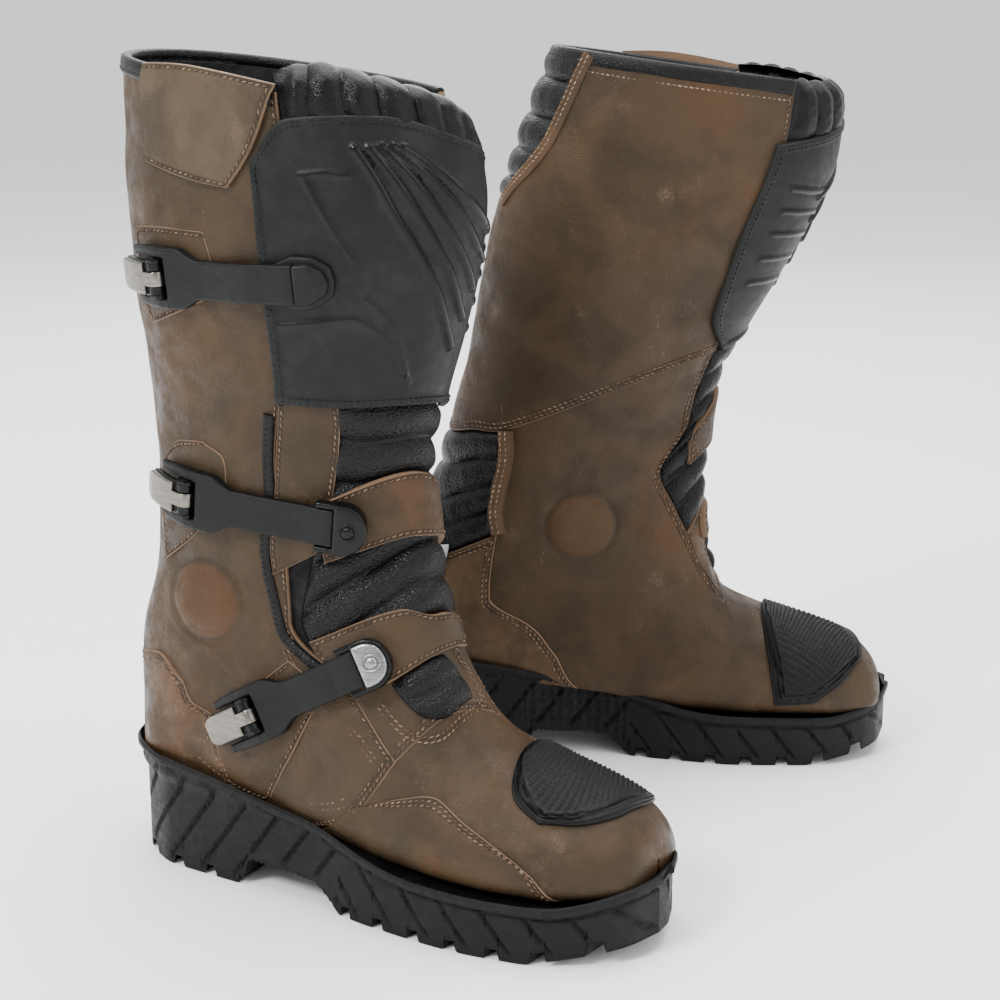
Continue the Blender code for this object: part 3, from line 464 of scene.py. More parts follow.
def makeStitches():
    # every stitch is a small rounded body that dips into the leather at both ends
    ring = np.linspace(0, 2 * math.pi, 6, endpoint=False)
    share = np.array([-1, -0.72, 0, 0.72, 1])
    width = np.array([0.35, 0.85, 1, 0.85, 0.35])
    total = 0
    for (side, body, thread), lines in stitchWork.items():
        lean = boot["lean"][side]
        look = threads[thread]
        centres, ways, ups = [], [], []
        for path, height in lines:
            p = skin(path[:, 0], path[:, 1], np.full(len(path), height), lean)
            n = lastNormal(path[:, 0], path[:, 1], lean)
            run = np.concatenate([[0], np.cumsum(np.linalg.norm(np.diff(p, axis=0), axis=1))])
            count = max(2, int(run[-1] / look["pitch"]))
            at = (np.arange(count) + 0.5) * run[-1] / count
            read = lambda q, s: np.stack([np.interp(s, run, q[:, k]) for k in range(3)], 1)
            centres.append(read(p, at))
            way = read(p, at + 0.4) - read(p, at - 0.4)
            way /= np.maximum(np.linalg.norm(way, axis=1, keepdims=True), 1e-9)
            up = read(n, at)
            skew = np.cross(up, way)
            way = way + look["skew"] * skew
            ways.append(way / np.linalg.norm(way, axis=1, keepdims=True))
            ups.append(up / np.linalg.norm(up, axis=1, keepdims=True))
        c, w, n = np.concatenate(centres), np.concatenate(ways), np.concatenate(ups)
        s = np.cross(n, w)
        count = len(c)
        total += count
        points = np.zeros((count, 5, 6, 3))
        for i in range(5):
            mid = c + w * share[i] * look["long"] / 2 - n * look["dip"] * share[i] ** 2
            for j in range(6):
                points[:, i, j] = (mid + s * math.cos(ring[j]) * look["thick"] * width[i]
                                   + n * math.sin(ring[j]) * look["thick"] * width[i] * 0.8)
        one = quadGrid(5, 6, 0, True)
        faces = (one[None] + np.arange(count)[:, None, None] * 30).reshape(-1, 4).tolist()
        for k in range(count):
            faces.append([k * 30 + j for j in range(5, -1, -1)])
            faces.append([k * 30 + 24 + j for j in range(6)])
        shade = np.repeat(np.random.default_rng(11).uniform(0, 1, count), 30)
        addPiece(f"{side}_{body}_stitches_{thread}", side, points.reshape(-1, 3), faces, look["finish"],
                 body,
                 look["slot"], {"shade": shade}, 80)
    print("stitches:", total)


# finishes
class Finish:
    # a small wrapper that joins shader nodes into one procedural material
    def __init__(self, name, roughness=0.5, metallic=0.0, specular=0.17):
        self.material = bpy.data.materials.new(name)
        self.material.use_nodes = True
        self.tree = self.material.node_tree
        self.shader = self.tree.nodes["Principled BSDF"]
        self.shader.inputs["Roughness"].default_value = roughness
        self.shader.inputs["Metallic"].default_value = metallic
        self.shader.inputs["Specular IOR Level"].default_value = specular
        self.coords = self.tree.nodes.new("ShaderNodeTexCoord").outputs["Object"]

    def node(self, kind, **inputs):
        made = self.tree.nodes.new(kind)
        for key, value in inputs.items():
            socket = made.inputs[key.replace("_", " ")]
            if isinstance(value, bpy.types.NodeSocket):
                self.tree.links.new(value, socket)
            else:
                socket.default_value = value
        return made

    def place(self, stretch, turn=(0, 0, 0)):
        made = self.node("ShaderNodeMapping", Vector=self.coords)
        made.inputs["Scale"].default_value = stretch
        made.inputs["Rotation"].default_value = turn
        return made.outputs["Vector"]

    def noise(self, scale, detail=4.0, rough=0.6, vector=None, warp=0.0):
        made = self.node("ShaderNodeTexNoise", Scale=scale, Detail=detail, Roughness=rough,
                         Distortion=warp)
        self.tree.links.new(vector or self.coords, made.inputs["Vector"])
        return made.outputs["Fac"]

    def cells(self, scale, feature="F1"):
        made = self.node("ShaderNodeTexVoronoi", Scale=scale)
        made.feature = feature
        self.tree.links.new(self.coords, made.inputs["Vector"])
        return made.outputs["Distance"]

    def value(self, name):
        made = self.tree.nodes.new("ShaderNodeAttribute")
        made.attribute_name = name
        return made.outputs["Fac"]

    def ramp(self, source, low, high, start=0.0, end=1.0):
        made = self.node("ShaderNodeMapRange", Value=source)
        for key, value in (("From Min", low), ("From Max", high), ("To Min", start), ("To Max", end)):
            made.inputs[key].default_value = value
        made.interpolation_type = "SMOOTHSTEP"
        return made.outputs["Result"]

    def mix(self, share, first, second):
        made = self.tree.nodes.new("ShaderNodeMix")
        made.data_type = "RGBA"
        sockets = [s for s in made.inputs if s.type == "RGBA"]
        self.tree.links.new(share, made.inputs[0])
        for socket, colour in zip(sockets, (first, second)):
            if isinstance(colour, bpy.types.NodeSocket):
                self.tree.links.new(colour, socket)
            else:
                socket.default_value = (*colour, 1)
        return [s for s in made.outputs if s.type == "RGBA"][0]

    def maths(self, kind, first, second):
        made = self.tree.nodes.new("ShaderNodeMath")
        made.operation = kind
        for socket, value in zip(made.inputs, (first, second)):
            if isinstance(value, bpy.types.NodeSocket):
                self.tree.links.new(value, socket)
            else:
                socket.default_value = value
        return made.outputs[0]

    def relief(self, heights):
        # (height socket, depth in metres) pairs, one after another
        normal = None
        for height, depth in heights:
            bump = self.node("ShaderNodeBump", Height=height, Strength=1.0, Distance=depth)
            if normal:
                self.tree.links.new(normal, bump.inputs["Normal"])
            normal = bump.outputs["Normal"]
        self.tree.links.new(normal, self.shader.inputs["Normal"])

    def done(self, colour, roughness=None):
        self.tree.links.new(colour, self.shader.inputs["Base Color"])
        if roughness is not None:
            self.tree.links.new(roughness, self.shader.inputs["Roughness"])
        return self.material


leatherLook = {
    "base": (0.046, 0.0285, 0.0145), "dark": (0.0195, 0.0135, 0.0082), "warm": (0.074, 0.035, 0.0132),
    "pale": (0.135, 0.094, 0.060), "cutEdge": (0.175, 0.110, 0.068),
    "roughLow": 0.30, "roughHigh": 0.60, "grain": 0.00018,
    # the disc share sets how strongly the ankle discs get their painted highlight
    "warmShare": 0.7, "darkShare": 0.58, "paleShare": 0.65, "scuffShare": 0.8, "discShare": 0.55,
}


def waxedLeather(name, look, warmth=0.5):
    f = Finish(name)
    broad, middle = f.noise(9, 3, 0.55, warp=0.5), f.noise(26, 5, 0.62, warp=0.5)
    fine, tiny = f.noise(260, 4, 0.7), f.noise(700, 3, 0.7)
    colour = f.mix(f.ramp(broad, 0.50 - 0.1 * warmth, 0.84 - 0.1 * warmth, 0.0, look["warmShare"]),
                   look["base"], look["warm"])
    colour = f.mix(f.ramp(middle, 0.62, 0.36, 0.0, look["darkShare"]), colour, look["dark"])
    colour = f.mix(f.maths("MULTIPLY", f.ramp(f.noise(30, 4, 0.7), 0.60, 0.80, 0.0, look["paleShare"]),
                           f.ramp(tiny, 0.35, 0.62)),
                   colour, look["pale"])
    colour = f.mix(f.ramp(fine, 0.62, 0.84, 0.0, 0.35), colour, look["pale"])
    slashes = f.noise(30, 2, 0.5, f.place((2.6, 2.6, 0.5), (0.5, 0.4, 0.2)), 1.2)
    line = f.maths("MULTIPLY", f.ramp(f.maths("ABSOLUTE", f.maths("SUBTRACT", slashes, 0.5), 0.0),
                                      0.0030, 0.0),
                   f.ramp(f.noise(24, 2), 0.56, 0.68, 0.0, look["scuffShare"]))
    colour = f.mix(line, colour, look["pale"])
    colour = f.mix(f.ramp(f.value("row"), 0.2, 0.9, 0.0, 0.72), colour, look["dark"])
    # painted highlight: the ankle discs' domes are painted warmer and lighter
    colour = f.mix(f.ramp(f.value("glow"), 0.0, 1.0, 0.0, look["discShare"]), colour, look["warm"])
    edge = f.value("edge")
    colour = f.mix(f.ramp(edge, 2.2, 0.9, 0.0, 0.30), colour, look["dark"])
    colour = f.mix(f.ramp(edge, 0.60, 0.25), colour, look["cutEdge"])
    rough = f.ramp(f.noise(70, 4, 0.7), 0.35, 0.65, look["roughLow"], look["roughHigh"])
    f.relief([(f.noise(90, 4, 0.7), 0.0006), (f.cells(1500), look["grain"]), (fine, 0.0002)])
    return f.done(colour, rough)


def pebbled(name, colour, dusty, scale, depth, roughLow, roughHigh):
    f = Finish(name)
    shade = f.mix(f.ramp(f.noise(75, 5, 0.7), 0.52, 0.78, 0.0, 0.8), colour, dusty)
    rough = f.ramp(f.noise(200, 4, 0.7), 0.3, 0.7, roughLow, roughHigh)
    f.relief([(f.noise(160, 3, 0.6), 0.0004), (f.cells(scale), depth)])
    return f.done(shade, rough)


def moulded(name):
    f = Finish(name)
    shade = f.mix(f.ramp(f.noise(48, 5, 0.7), 0.42, 0.68), (0.0058, 0.0068, 0.0064),
                  (0.0110, 0.0126, 0.0112))
    gloss = f.value("gloss")
    shade = f.mix(gloss, shade, (0.004, 0.004, 0.0045))
    shade = f.mix(f.ramp(f.value("edge"), 0.8, 0.1, 0.0, 0.5), shade, (0.030, 0.030, 0.028))
    rough = f.maths("SUBTRACT", f.ramp(f.noise(150, 4, 0.7), 0.3, 0.7, 0.42, 0.58),
                    f.maths("MULTIPLY", gloss, 0.30))
    f.relief([(f.noise(700, 3, 0.7), 0.00012)])
    return f.done(shade, rough)


def brushed(name, colour, other, low, high):
    f = Finish(name, metallic=1.0)
    streak = f.noise(60, 4, 0.7, f.place((1, 1, 26), (0.0, 0.5, 0.4)))
    shade = f.mix(f.ramp(streak, 0.35, 0.68), colour, other)
    rough = f.ramp(f.noise(210, 4, 0.7), 0.3, 0.7, low, high)
    f.relief([(streak, 0.00008), (f.noise(40, 3), 0.0002)])
    return f.done(shade, rough)


def woven(name, colour, other, scale, depth, rough):
    f = Finish(name)
    made = f.node("ShaderNodeTexWave", Scale=scale, Distortion=1.0)
    made.bands_direction = "DIAGONAL"
    f.tree.links.new(f.coords, made.inputs["Vector"])
    shade = f.mix(f.ramp(f.noise(90, 5, 0.7), 0.4, 0.7), colour, other)
    f.relief([(made.outputs["Fac"], depth), (f.noise(500, 3), depth)])
    return f.done(shade, f.ramp(f.noise(150), 0.3, 0.7, rough - 0.08, rough + 0.08))


def threadLook(name, dark, light, rough):
    f = Finish(name)
    shade = f.mix(f.value("shade"), dark, light)
    f.relief([(f.noise(2600, 2), 0.00015)])
    return f.done(shade, f.ramp(f.noise(400), 0.3, 0.7, rough - 0.05, rough + 0.1))


brownLeather = waxedLeather("brown_leather", leatherLook)
heelLeather = waxedLeather("heel_leather", dict(leatherLook, base=(0.080, 0.047, 0.024),
                                                pale=(0.19, 0.135, 0.085)), 0.9)
flapLeather = waxedLeather("flap_leather", dict(leatherLook, base=(0.072, 0.050, 0.030),
                                                warm=(0.095, 0.055, 0.029)), 0.2)
bellowsLeather = pebbled("bellows_leather", (0.0042, 0.0042, 0.0044), (0.011, 0.0108, 0.0105), 760,
                         0.00045, 0.28, 0.44)
bindingLeather = pebbled("binding_leather", (0.0045, 0.0045, 0.0046), (0.012, 0.011, 0.011), 1100,
                         0.00025, 0.28, 0.44)
collarCloth = pebbled("collar_cloth", (0.0035, 0.0035, 0.0042), (0.008, 0.008, 0.009), 1700, 0.00015,
                      0.16, 0.30)
plateFinish = moulded("plate_plastic")
rubberFinish = pebbled("pad_rubber", (0.0035, 0.0035, 0.0038), (0.009, 0.0088, 0.0086), 2200, 0.00012,
                       0.36, 0.52)
soleFinish = pebbled("sole_rubber", (0.0032, 0.0032, 0.0036), (0.009, 0.0088, 0.0086), 1900, 0.0002,
                     0.42, 0.60)
strapFinish = pebbled("strap_plastic", (0.0052, 0.0058, 0.0058), (0.008, 0.0088, 0.0088), 2600, 0.00008,
                      0.38, 0.52)
buckleFinish = pebbled("buckle_plastic", (0.0038, 0.0040, 0.0044), (0.008, 0.0085, 0.009), 2400,
                       0.00005, 0.14, 0.28)
steelFinish = brushed("lever_steel", (0.15, 0.135, 0.118), (0.24, 0.22, 0.195), 0.24, 0.40)
paleMetal = brushed("pale_metal", (0.20, 0.205, 0.21), (0.33, 0.335, 0.33), 0.24, 0.38)
shankFinish = brushed("shank_steel", (0.30, 0.30, 0.31), (0.42, 0.42, 0.43), 0.34, 0.50)
liningFinish = woven("lining_cloth", (0.012, 0.012, 0.013), (0.026, 0.026, 0.028), 700, 0.0003, 0.88)
footbedFinish = woven("footbed_cloth", (0.024, 0.024, 0.026), (0.050, 0.048, 0.046), 420, 0.0004, 0.90)
boardFinish = woven("board", (0.26, 0.19, 0.12), (0.34, 0.26, 0.17), 300, 0.0002, 0.84)
reflectorFinish = woven("reflector", (0.42, 0.43, 0.44), (0.60, 0.61, 0.62), 900, 0.0002, 0.34)
threads = {
    "brown": {"pitch": 3.3, "long": 2.4, "thick": 0.46, "dip": 0.45, "skew": 0.22,
              "slot": "brown_leather",
              "finish": threadLook("thread_brown", (0.060, 0.032, 0.020), (0.190, 0.120, 0.078), 0.50)},
    "black": {"pitch": 3.0, "long": 2.2, "thick": 0.42, "dip": 0.40, "skew": 0.10,
              "slot": "black_leather",
              "finish": threadLook("thread_black", (0.0022, 0.0022, 0.0022), (0.012, 0.012, 0.012),
                                   0.35)},
    "light": {"pitch": 3.2, "long": 2.3, "thick": 0.42, "dip": 0.42, "skew": 0.10,
              "slot": "brown_leather",
              "finish": threadLook("thread_light", (0.130, 0.085, 0.055), (0.330, 0.245, 0.170), 0.6)},
}


def lineDistance(points, path, lean, lift=0.0):
    # how far each point is from a line on the boot
    line = skin(path[:, 0], path[:, 1], np.full(len(path), lift), lean)
    flat = points.reshape(-1, 3)
    nearest = np.full(len(flat), 1e9)
    for i in range(0, len(flat), 4000):
        part = flat[i:i + 4000]
        nearest[i:i + 4000] = np.sqrt(((part[:, None] - line[None]) ** 2).sum(-1)).min(1)
    return nearest.reshape(points.shape[:-1])


# upper
discs = {"outer": ((0.659, -94), 22.0), "inner": ((0.605, 68), 21.0)}
discLook = {"dome": 1.9, "ring": 0.9, "innerRing": 0.5, "ringGap": 5.5}


def discRelief(which, lean):
    (t, a), radius = discs[which]
    centre = lastPoint(t, a, lean)

    def shape(base, tt, aa, edge, dist):
        d = np.linalg.norm(base - centre, axis=-1)
        dome = discLook["dome"] * np.clip(1 - (d / radius) ** 4, 0, 1)
        rings = -discLook["ring"] * np.exp(-((d - radius) / 1.8) ** 2)
        rings = rings - discLook["innerRing"] * np.exp(-((d - radius + discLook["ringGap"]) / 1.3) ** 2)
        # marks the inside of the disc for a painted highlight, lighter and warmer over the dome
        return dome + rings, {"glow": np.clip((radius - d) / 4, 0, 1)}
    return shape


def leatherStyle(**more):
    return dict({"high": 0.0, "low": -1.8, "slot": "brown_leather", "free": ""}, **more)


toeRow = 0.0002
toeOuter, toeInner = featherAngle(toeRow, -1), featherAngle(toeRow, 1)


def makeUpper(side):
    lean = boot["lean"][side]
    vamp = Patch([(toeRow, toeOuter), (toeRow, 0), (toeRow, toeInner)], featherAlong(toeRow, 0.265, 1),
                 vampBack,
                 featherAlong(toeRow, 0.46, -1))
    made = panelPiece(side + "_vamp_leather", side, vamp, brownLeather,
                      leatherStyle(onSole=True, uneven=0.5, seed=5, step=2.0))
    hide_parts(side + "_vamp")

    quarter = Patch(featherAlong(0.265, innerHeelEnd[0], 1)[:-1] + innerHeelSeam + ankleNotch[1:],
                    [(0.735, 122), (0.732, 84), (0.72, 32)], innerFrontEdge,
                    [innerVampEnd, (0.275, 60), (0.295, 20)])
    made = panelPiece(side + "_quarter_leather", side, quarter, brownLeather,
                      leatherStyle(high=0.25, free="t", rows=(("t", 2.4), ("t", 5.0)), onSole=True,
                                   seed=7, uneven=0.5,
                                   relief=discRelief("inner", lean)))
    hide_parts(side + "_quarter_inner")

    outer = Patch(featherAlong(0.46, outerHeelEnd[0], -1, 5)[:-1] + outerHeelSeam
                  + [(0.745, -165), (0.88, -165), (1.0, -165)],
                  [(1.0, -165), (1.0, -116), (1.0, -70)], outerFrontEdge,
                  [outerFootEnd, (0.413, -83), (0.398, -63)])
    made = panelPiece(side + "_side_leather", side, outer, brownLeather,
                      leatherStyle(high=0.8, free="tl", rows=(("t", 2.3), ("l", 2.3), ("l", 4.9)),
                                   onSole=True,
                                   seed=9, uneven=0.6, relief=discRelief("outer", lean)))
    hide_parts(side + "_side_outer")

    shaft = Patch(middleSeam, [(0.745, 195), (0.82, 195), (0.905, 195), (0.907, 166)] + calfFront[1:],
                  [(1.0, 52), (1.0, 95), (1.0, 137)], innerShinEdge)
    made = panelPiece(side + "_shaft_leather", side, shaft, brownLeather,
                      leatherStyle(high=1.5, free="bl", rows=(("b", 2.4), ("b", 5.0), ("l", 2.6)),
                                   seed=11,
                                   uneven=0.6))
    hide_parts(side + "_shaft_inner")

    heel = Patch(heelFeather(innerHeelEnd[0], outerHeelEnd[0]), turned(outerHeelSeam[:5]),
                 [(0.65, 98), (0.655, 118), (0.66, 150), (0.663, 180), (0.66, 195), (0.649, 235),
                  (0.621, 256)],
                 innerHeelSeam)
    made = panelPiece(side + "_heel_leather", side, heel, heelLeather,
                      leatherStyle(high=1.7, free="tlr",
                                   rows=(("t", 2.5), ("t", 5.2), ("l", 2.4), ("l", 5.0),
                                                               ("r", 2.4), ("r", 5.0)), onSole=True,
                                   seed=13))
    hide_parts(side + "_heel_panel")

    # a patch over the outer side of the forefoot
    patch = Patch(featherAlong(0.155, 0.452, -1, 8),
                  [(0.452, featherAngle(0.452, -1)), (0.430, -91), (0.411, -85)],
                  [(0.190, -82), (0.240, -70), (0.302, -62), (0.371, -74), (0.411, -85)],
                  [(0.155, featherAngle(0.155, -1)), (0.168, -93), (0.190, -82)])
    panelPiece(side + "_side_patch", side, patch, brownLeather,
               leatherStyle(high=1.2, low=0.05, free="tl",
                            rows=(("t", 2.3), ("t", 4.9), ("l", 2.3), ("l", 4.9)),
                            onSole=True, seed=15))
    continued = densePath([(0.295, 20), (0.24, 21), (0.187, 17)])
    for gap in (2.4, 5.0):
        sew(side, "boot", "brown", shifted(continued, gap, lean), 0.1)
    for line in ([(0.577, -66), (0.540, -68), (0.503, -67), (0.455, -65), (0.421, -66)],
                 [(0.430, -92), (0.445, -100), (0.468, -112)]):
        for gap in (-3.4, -6.0):
            sew(side, "boot", "brown", shifted(densePath(line), gap, lean), 0.9)
    heelLine = densePath([(0.649, -125), (0.621, -104), (0.600, -98), (0.575, -93), (0.55, -104)])
    for gap in (2.4, 5.0):
        sew(side, "boot", "brown", shifted(heelLine, -gap, lean), 0.95)

    # leather tabs under the buckles
    tabs = {
        "upper_tab": ([(0.846, -131), (0.860, -98)], [(0.860, -98), (0.886, -96), (0.913, -97)],
                      [(0.914, -136), (0.913, -97)], [(0.846, -131), (0.880, -135), (0.914, -136)]),
        "middle_tab": ([(0.700, -132), (0.706, -110), (0.722, -92)],
                       [(0.722, -92), (0.748, -96), (0.767, -107)],
                       [(0.765, -138), (0.772, -122), (0.767, -107)],
                       [(0.700, -132), (0.730, -138), (0.765, -138)]),
        "low_tab": ([(0.500, -122), (0.506, -96), (0.520, -72)],
                    [(0.520, -72), (0.545, -68), (0.572, -68)],
                    [(0.568, -118), (0.572, -92), (0.572, -68)],
                    [(0.500, -122), (0.532, -124), (0.568, -118)]),
    }
    for name, edges in tabs.items():
        panelPiece(f"{side}_{name}", side, Patch(*edges, roundness=0.25), brownLeather,
                   leatherStyle(high=1.65, low=0.6, free="btlr", seed=len(name), step=1.8,
                                rows=(("t", 2.2), ("b", 2.2), ("l", 2.2)), uneven=0.2))

    # a brown strip beside the shin, with a black binding at its back
    strip = Patch([(0.646, -70), (0.640, -55)], [(0.640, -55), (0.682, -50), (0.735, -51), (0.764, -55)],
                  [(0.772, -77), (0.764, -55)], [(0.646, -70), (0.704, -74), (0.772, -77)])
    panelPiece(side + "_shin_strip", side, strip, brownLeather,
               leatherStyle(high=2.2, free="blr", rows=(("l", 2.0), ("r", 2.2)), seed=21, step=1.6))
    binding = densePath([(0.530, -63), (0.577, -66), (0.62, -69), (0.651, -72), (0.704, -76),
                         (0.74, -79), (0.768, -80.5)])
    arch = [(2.8 * math.cos(k), 0.9 + 1.8 * math.sin(k)) for k in np.linspace(0, math.pi, 9)]
    sweepPiece(side + "_shin_binding", side, binding, arch + [(-2.8, -0.6), (2.8, -0.6)], bindingLeather,
               "black_leather")
    sew(side, "boot", "black", shifted(binding, 1.0, lean), 2.75)

    # the black binding round the top line
    top = densePath([(1.0, a) for a in np.linspace(53, 289, 20)])
    rim = [(-5.5, 1.4), (-5.2, 2.0), (-4.5, 2.3), (-1.0, 2.4), (1.2, 1.9), (2.2, 0.6), (2.2, -1.6),
           (1.2, -3.0),
           (-2.0, -3.4), (-3.0, -2.2), (-5.5, 0.0)]
    sweepPiece(side + "_top_binding", side, top, rim, bindingLeather, "black_leather")
    sew(side, "boot", "black", shifted(top, -3.8, lean), 2.45)
    sew(side, "boot", "light" if side == "left" else "brown",
        shifted(top, -8.0, lean)[:int(len(top) * 0.38)], 1.6)


# soft pieces
softPieces = {
    "calf": {"ribs": 5, "puff": 4.2, "valley": -1.4, "fill": 0.6},
    "heelBellows": {"ribs": 4, "puff": 4.4, "valley": -1.4, "fill": 0.6},
    "shinBellows": {"ribs": 7, "puff": 4.6, "valley": -1.8, "fill": 0.7},
    "instep": {"ribs": 2, "puff": 3.2, "valley": 0.6, "fill": 0.7},
    "collar": {"pleats": 9, "puff": 3.4, "roll": 7.0, "fill": 0.8},
}


def ribbedPiece(name, side, patch, finish, slot, look, body="boot", along="u", step=1.5, low=-3.0,
                seed=31,
                rowThread="black", margin=0.05):
    # a puffed field with stitched channels; ribs run along u or along v
    lean = boot["lean"][side]
    coarse = np.linspace(0, 1, 12)
    p = lastPoint(*patch.at(coarse[None, :], coarse[:, None]), lean)
    countU = max(12, int(np.linalg.norm(np.diff(p, axis=1), axis=2).sum(1).max() / step))
    countV = max(12, int(np.linalg.norm(np.diff(p, axis=0), axis=2).sum(0).max() / step))
    u, v = np.meshgrid(np.linspace(0, 1, countU + 1), np.linspace(0, 1, countV + 1))
    t, a = patch.at(u, v)
    base = lastPoint(t, a, lean)
    across, run = (v, u) if along == "u" else (u, v)
    n = look["ribs"]
    wobble = 0.008 * waves(base, 60.0, seed)
    phase = np.clip((across + wobble * np.sin(math.pi * across)) * n, 0, n)
    swell = np.abs(np.sin(math.pi * phase)) ** 0.62
    ends = np.clip(np.minimum(run, 1 - run) / margin, 0, 1) ** 0.5
    sides = np.clip(np.minimum(across, 1 - across) / (0.3 / n), 0, 1) ** 0.5
    high = look["valley"] + look["puff"] * swell * (0.25 + 0.75 * ends) * (0.4 + 0.6 * sides)
    high = high + 0.40 * waves(base, 15.0, seed + 1) * swell + 0.16 * waves(base, 6.0, seed + 2) * swell
    outer, inner = skin(t, a, high, lean), skin(t, a, np.full(t.shape, low), lean)
    points, faces = closedSheet(outer, inner)
    made = addPiece(name, side, points, faces, finish, body, slot, None, 75)
    s = np.linspace(0.03, 0.97, 160)
    for k in range(1, n):
        line = np.full_like(s, k / n)
        tt, aa = patch.at(s, line) if along == "u" else patch.at(line, s)
        sew(side, body, rowThread, np.stack([tt, aa], 1), look["valley"] + 0.15)
    return made


collarTops = {
    "right": [(1.022, -71), (1.040, -52), (1.034, -34), (1.024, -12), (1.004, 12), (0.990, 30),
              (0.988, 52)],
    "left": [(1.010, -71), (1.014, -52), (1.012, -34), (1.010, -12), (1.008, 12), (1.004, 30),
             (1.004, 52)],
}


def makeSoft(side):
    lean = boot["lean"][side]
    calfPatch = Patch([(0.907, 166), (0.905, 195)], [(0.905, 195), (1.0, 195)],
                      [(1.0, 137), (1.0, 168), (1.0, 195)], calfFront)
    made = ribbedPiece(side + "_calf_bellows_soft", side, calfPatch, bellowsLeather, "black_leather",
                       softPieces["calf"], seed=33)
    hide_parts(side + "_calf_bellows")
    edge = densePath(calfFront)
    lip = [(-5.6, 1.3), (-5.2, 2.5), (-3.0, 2.9), (2.4, 2.9), (3.4, 2.2), (3.5, 0.2), (-5.6, 0.2)]
    flip = [(-x, o) for x, o in lip]
    sweepPiece(side + "_calf_edge", side, edge, flip, heelLeather, "brown_leather",
               values={"edge": np.tile([0.6, 0.9, 2.5, 2.5, 0.9, 0.6, 0.4], len(edge))})
    for gap in (-1.5, 1.5):
        sew(side, "boot", "light", shifted(edge, gap, lean), 3.05)

    heelBellows = Patch([(0.65, 98), (0.655, 118), (0.66, 150), (0.663, 180), (0.66, 195)],
                        [(0.66, 195), (0.70, 195), (0.745, 195)],
                        subLine(middleSeam, (0.735, 122), (0.745, 195)),
                        ankleNotch)
    made = ribbedPiece(side + "_heel_bellows_soft", side, heelBellows, bellowsLeather, "black_leather",
                       softPieces["heelBellows"], seed=37)
    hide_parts(side + "_ankle_bellows_rear")
    notch = densePath([(0.735, 122), (0.70, 112), (0.65, 98)])
    sweepPiece(side + "_notch_edge", side, notch, lip, heelLeather, "brown_leather",
               values={"edge": np.tile([0.6, 0.9, 2.5, 2.5, 0.9, 0.6, 0.4], len(notch))})
    for gap in (-1.5, 1.5):
        sew(side, "boot", "light", shifted(notch, gap, lean), 3.05)

    # the front of the ankle: ribs above, plain leather with a small ribbed field below
    split = [(0.512, -61), (0.500, -30), (0.490, 0), (0.480, 31)]
    above = Patch(split, [(0.480, 31), (0.54, 36), (0.599, 40), (0.639, 28), (0.72, 32)],
                  [(0.765, -57), (0.745, -40), (0.725, 0), (0.72, 32)],
                  [(0.512, -61), (0.577, -62), (0.640, -57), (0.682, -52), (0.735, -53), (0.765, -57)])
    made = ribbedPiece(side + "_shin_bellows_soft", side, above, bellowsLeather, "black_leather",
                       softPieces["shinBellows"], seed=41, margin=0.04)
    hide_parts(side + "_ankle_bellows_front")
    tongue = Patch(subLine(vampBack, (0.398, -63), (0.295, 20)),
                   [(0.295, 20), (0.38, 26), (0.43, 29), (0.480, 31)],
                   split, [(0.398, -63), (0.45, -61), (0.512, -61)])
    panelPiece(side + "_tongue_leather", side, tongue, brownLeather,
               leatherStyle(high=0.5, free="bt", rows=(("b", 2.4), ("b", 5.0), ("t", 2.4)), seed=43))
    field = Patch([(0.334, 4), (0.336, -10), (0.344, -23), (0.368, -33), (0.397, -40)],
                  [(0.397, -40), (0.430, -43), (0.471, -46)], [(0.436, -8), (0.452, -27), (0.471, -46)],
                  [(0.334, 4), (0.380, 0), (0.436, -8)], roundness=0.2)
    ribbedPiece(side + "_instep_soft", side, field, bellowsLeather, "black_leather", softPieces["instep"],
                step=1.2, low=0.2, seed=47, margin=0.12)
    frameLine = densePath([(0.462, -52), (0.42, -50), (0.375, -44), (0.340, -32), (0.326, -14),
                           (0.322, 3), (0.334, 11),
                           (0.385, 7), (0.43, 0)])
    for gap in (1.0, 3.6):
        sew(side, "boot", "brown", shifted(frameLine, -gap, lean), 0.7)

    # the pleated collar above the shin plate
    look = softPieces["collar"]
    collar = Patch(bellowsTop, [(0.72, 32), (0.778, 44), (0.88, 50), collarTops[side][-1]],
                   collarTops[side],
                   subLine(outerFrontEdge, (0.765, -77), (1.0, -70)) + [collarTops[side][0]])
    u, v = np.meshgrid(np.linspace(0, 1, 220), np.linspace(0, 1, 150))
    t, a = collar.at(u, v)
    base = lastPoint(t, a, lean)
    free = np.clip((v - 0.72) / 0.12, 0, 1)
    drift = u + 0.012 * waves(base, 45.0, 51) + 0.03 * (v - 1)
    pleat = np.abs(np.sin(math.pi * drift * look["pleats"] + 0.5 * np.sin(9 * v))) ** 0.7
    bulge = np.sin(np.clip((v - 0.74) / 0.26, 0, 1) * math.pi) ** 0.8
    ends = np.clip(np.minimum(u, 1 - u) / 0.06, 0, 1)
    roll = np.clip((v - 0.93) / 0.07, 0, 1)
    high = -1.0 + free * ends * (look["puff"] * pleat * (0.35 + 0.65 * bulge) + 2.6 * bulge)
    high = high - look["roll"] * roll ** 2 * ends + 0.35 * waves(base, 9.0, 52) * free
    outer = skin(t, a, high, lean)
    outer[..., 2] += 1.6 * pleat * free * ends
    inner = skin(t, a, np.minimum(high - 1.4, -2.4), lean)
    points, faces = closedSheet(outer, inner)
    made = addPiece(side + "_collar_soft", side, points, faces, collarCloth, "boot", "collar_cloth",
                    None, 75)
    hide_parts(side + "_gaiter")


for side in ("right", "left"):
    makeUpper(side)
    makeSoft(side)
print("upper and soft pieces made")


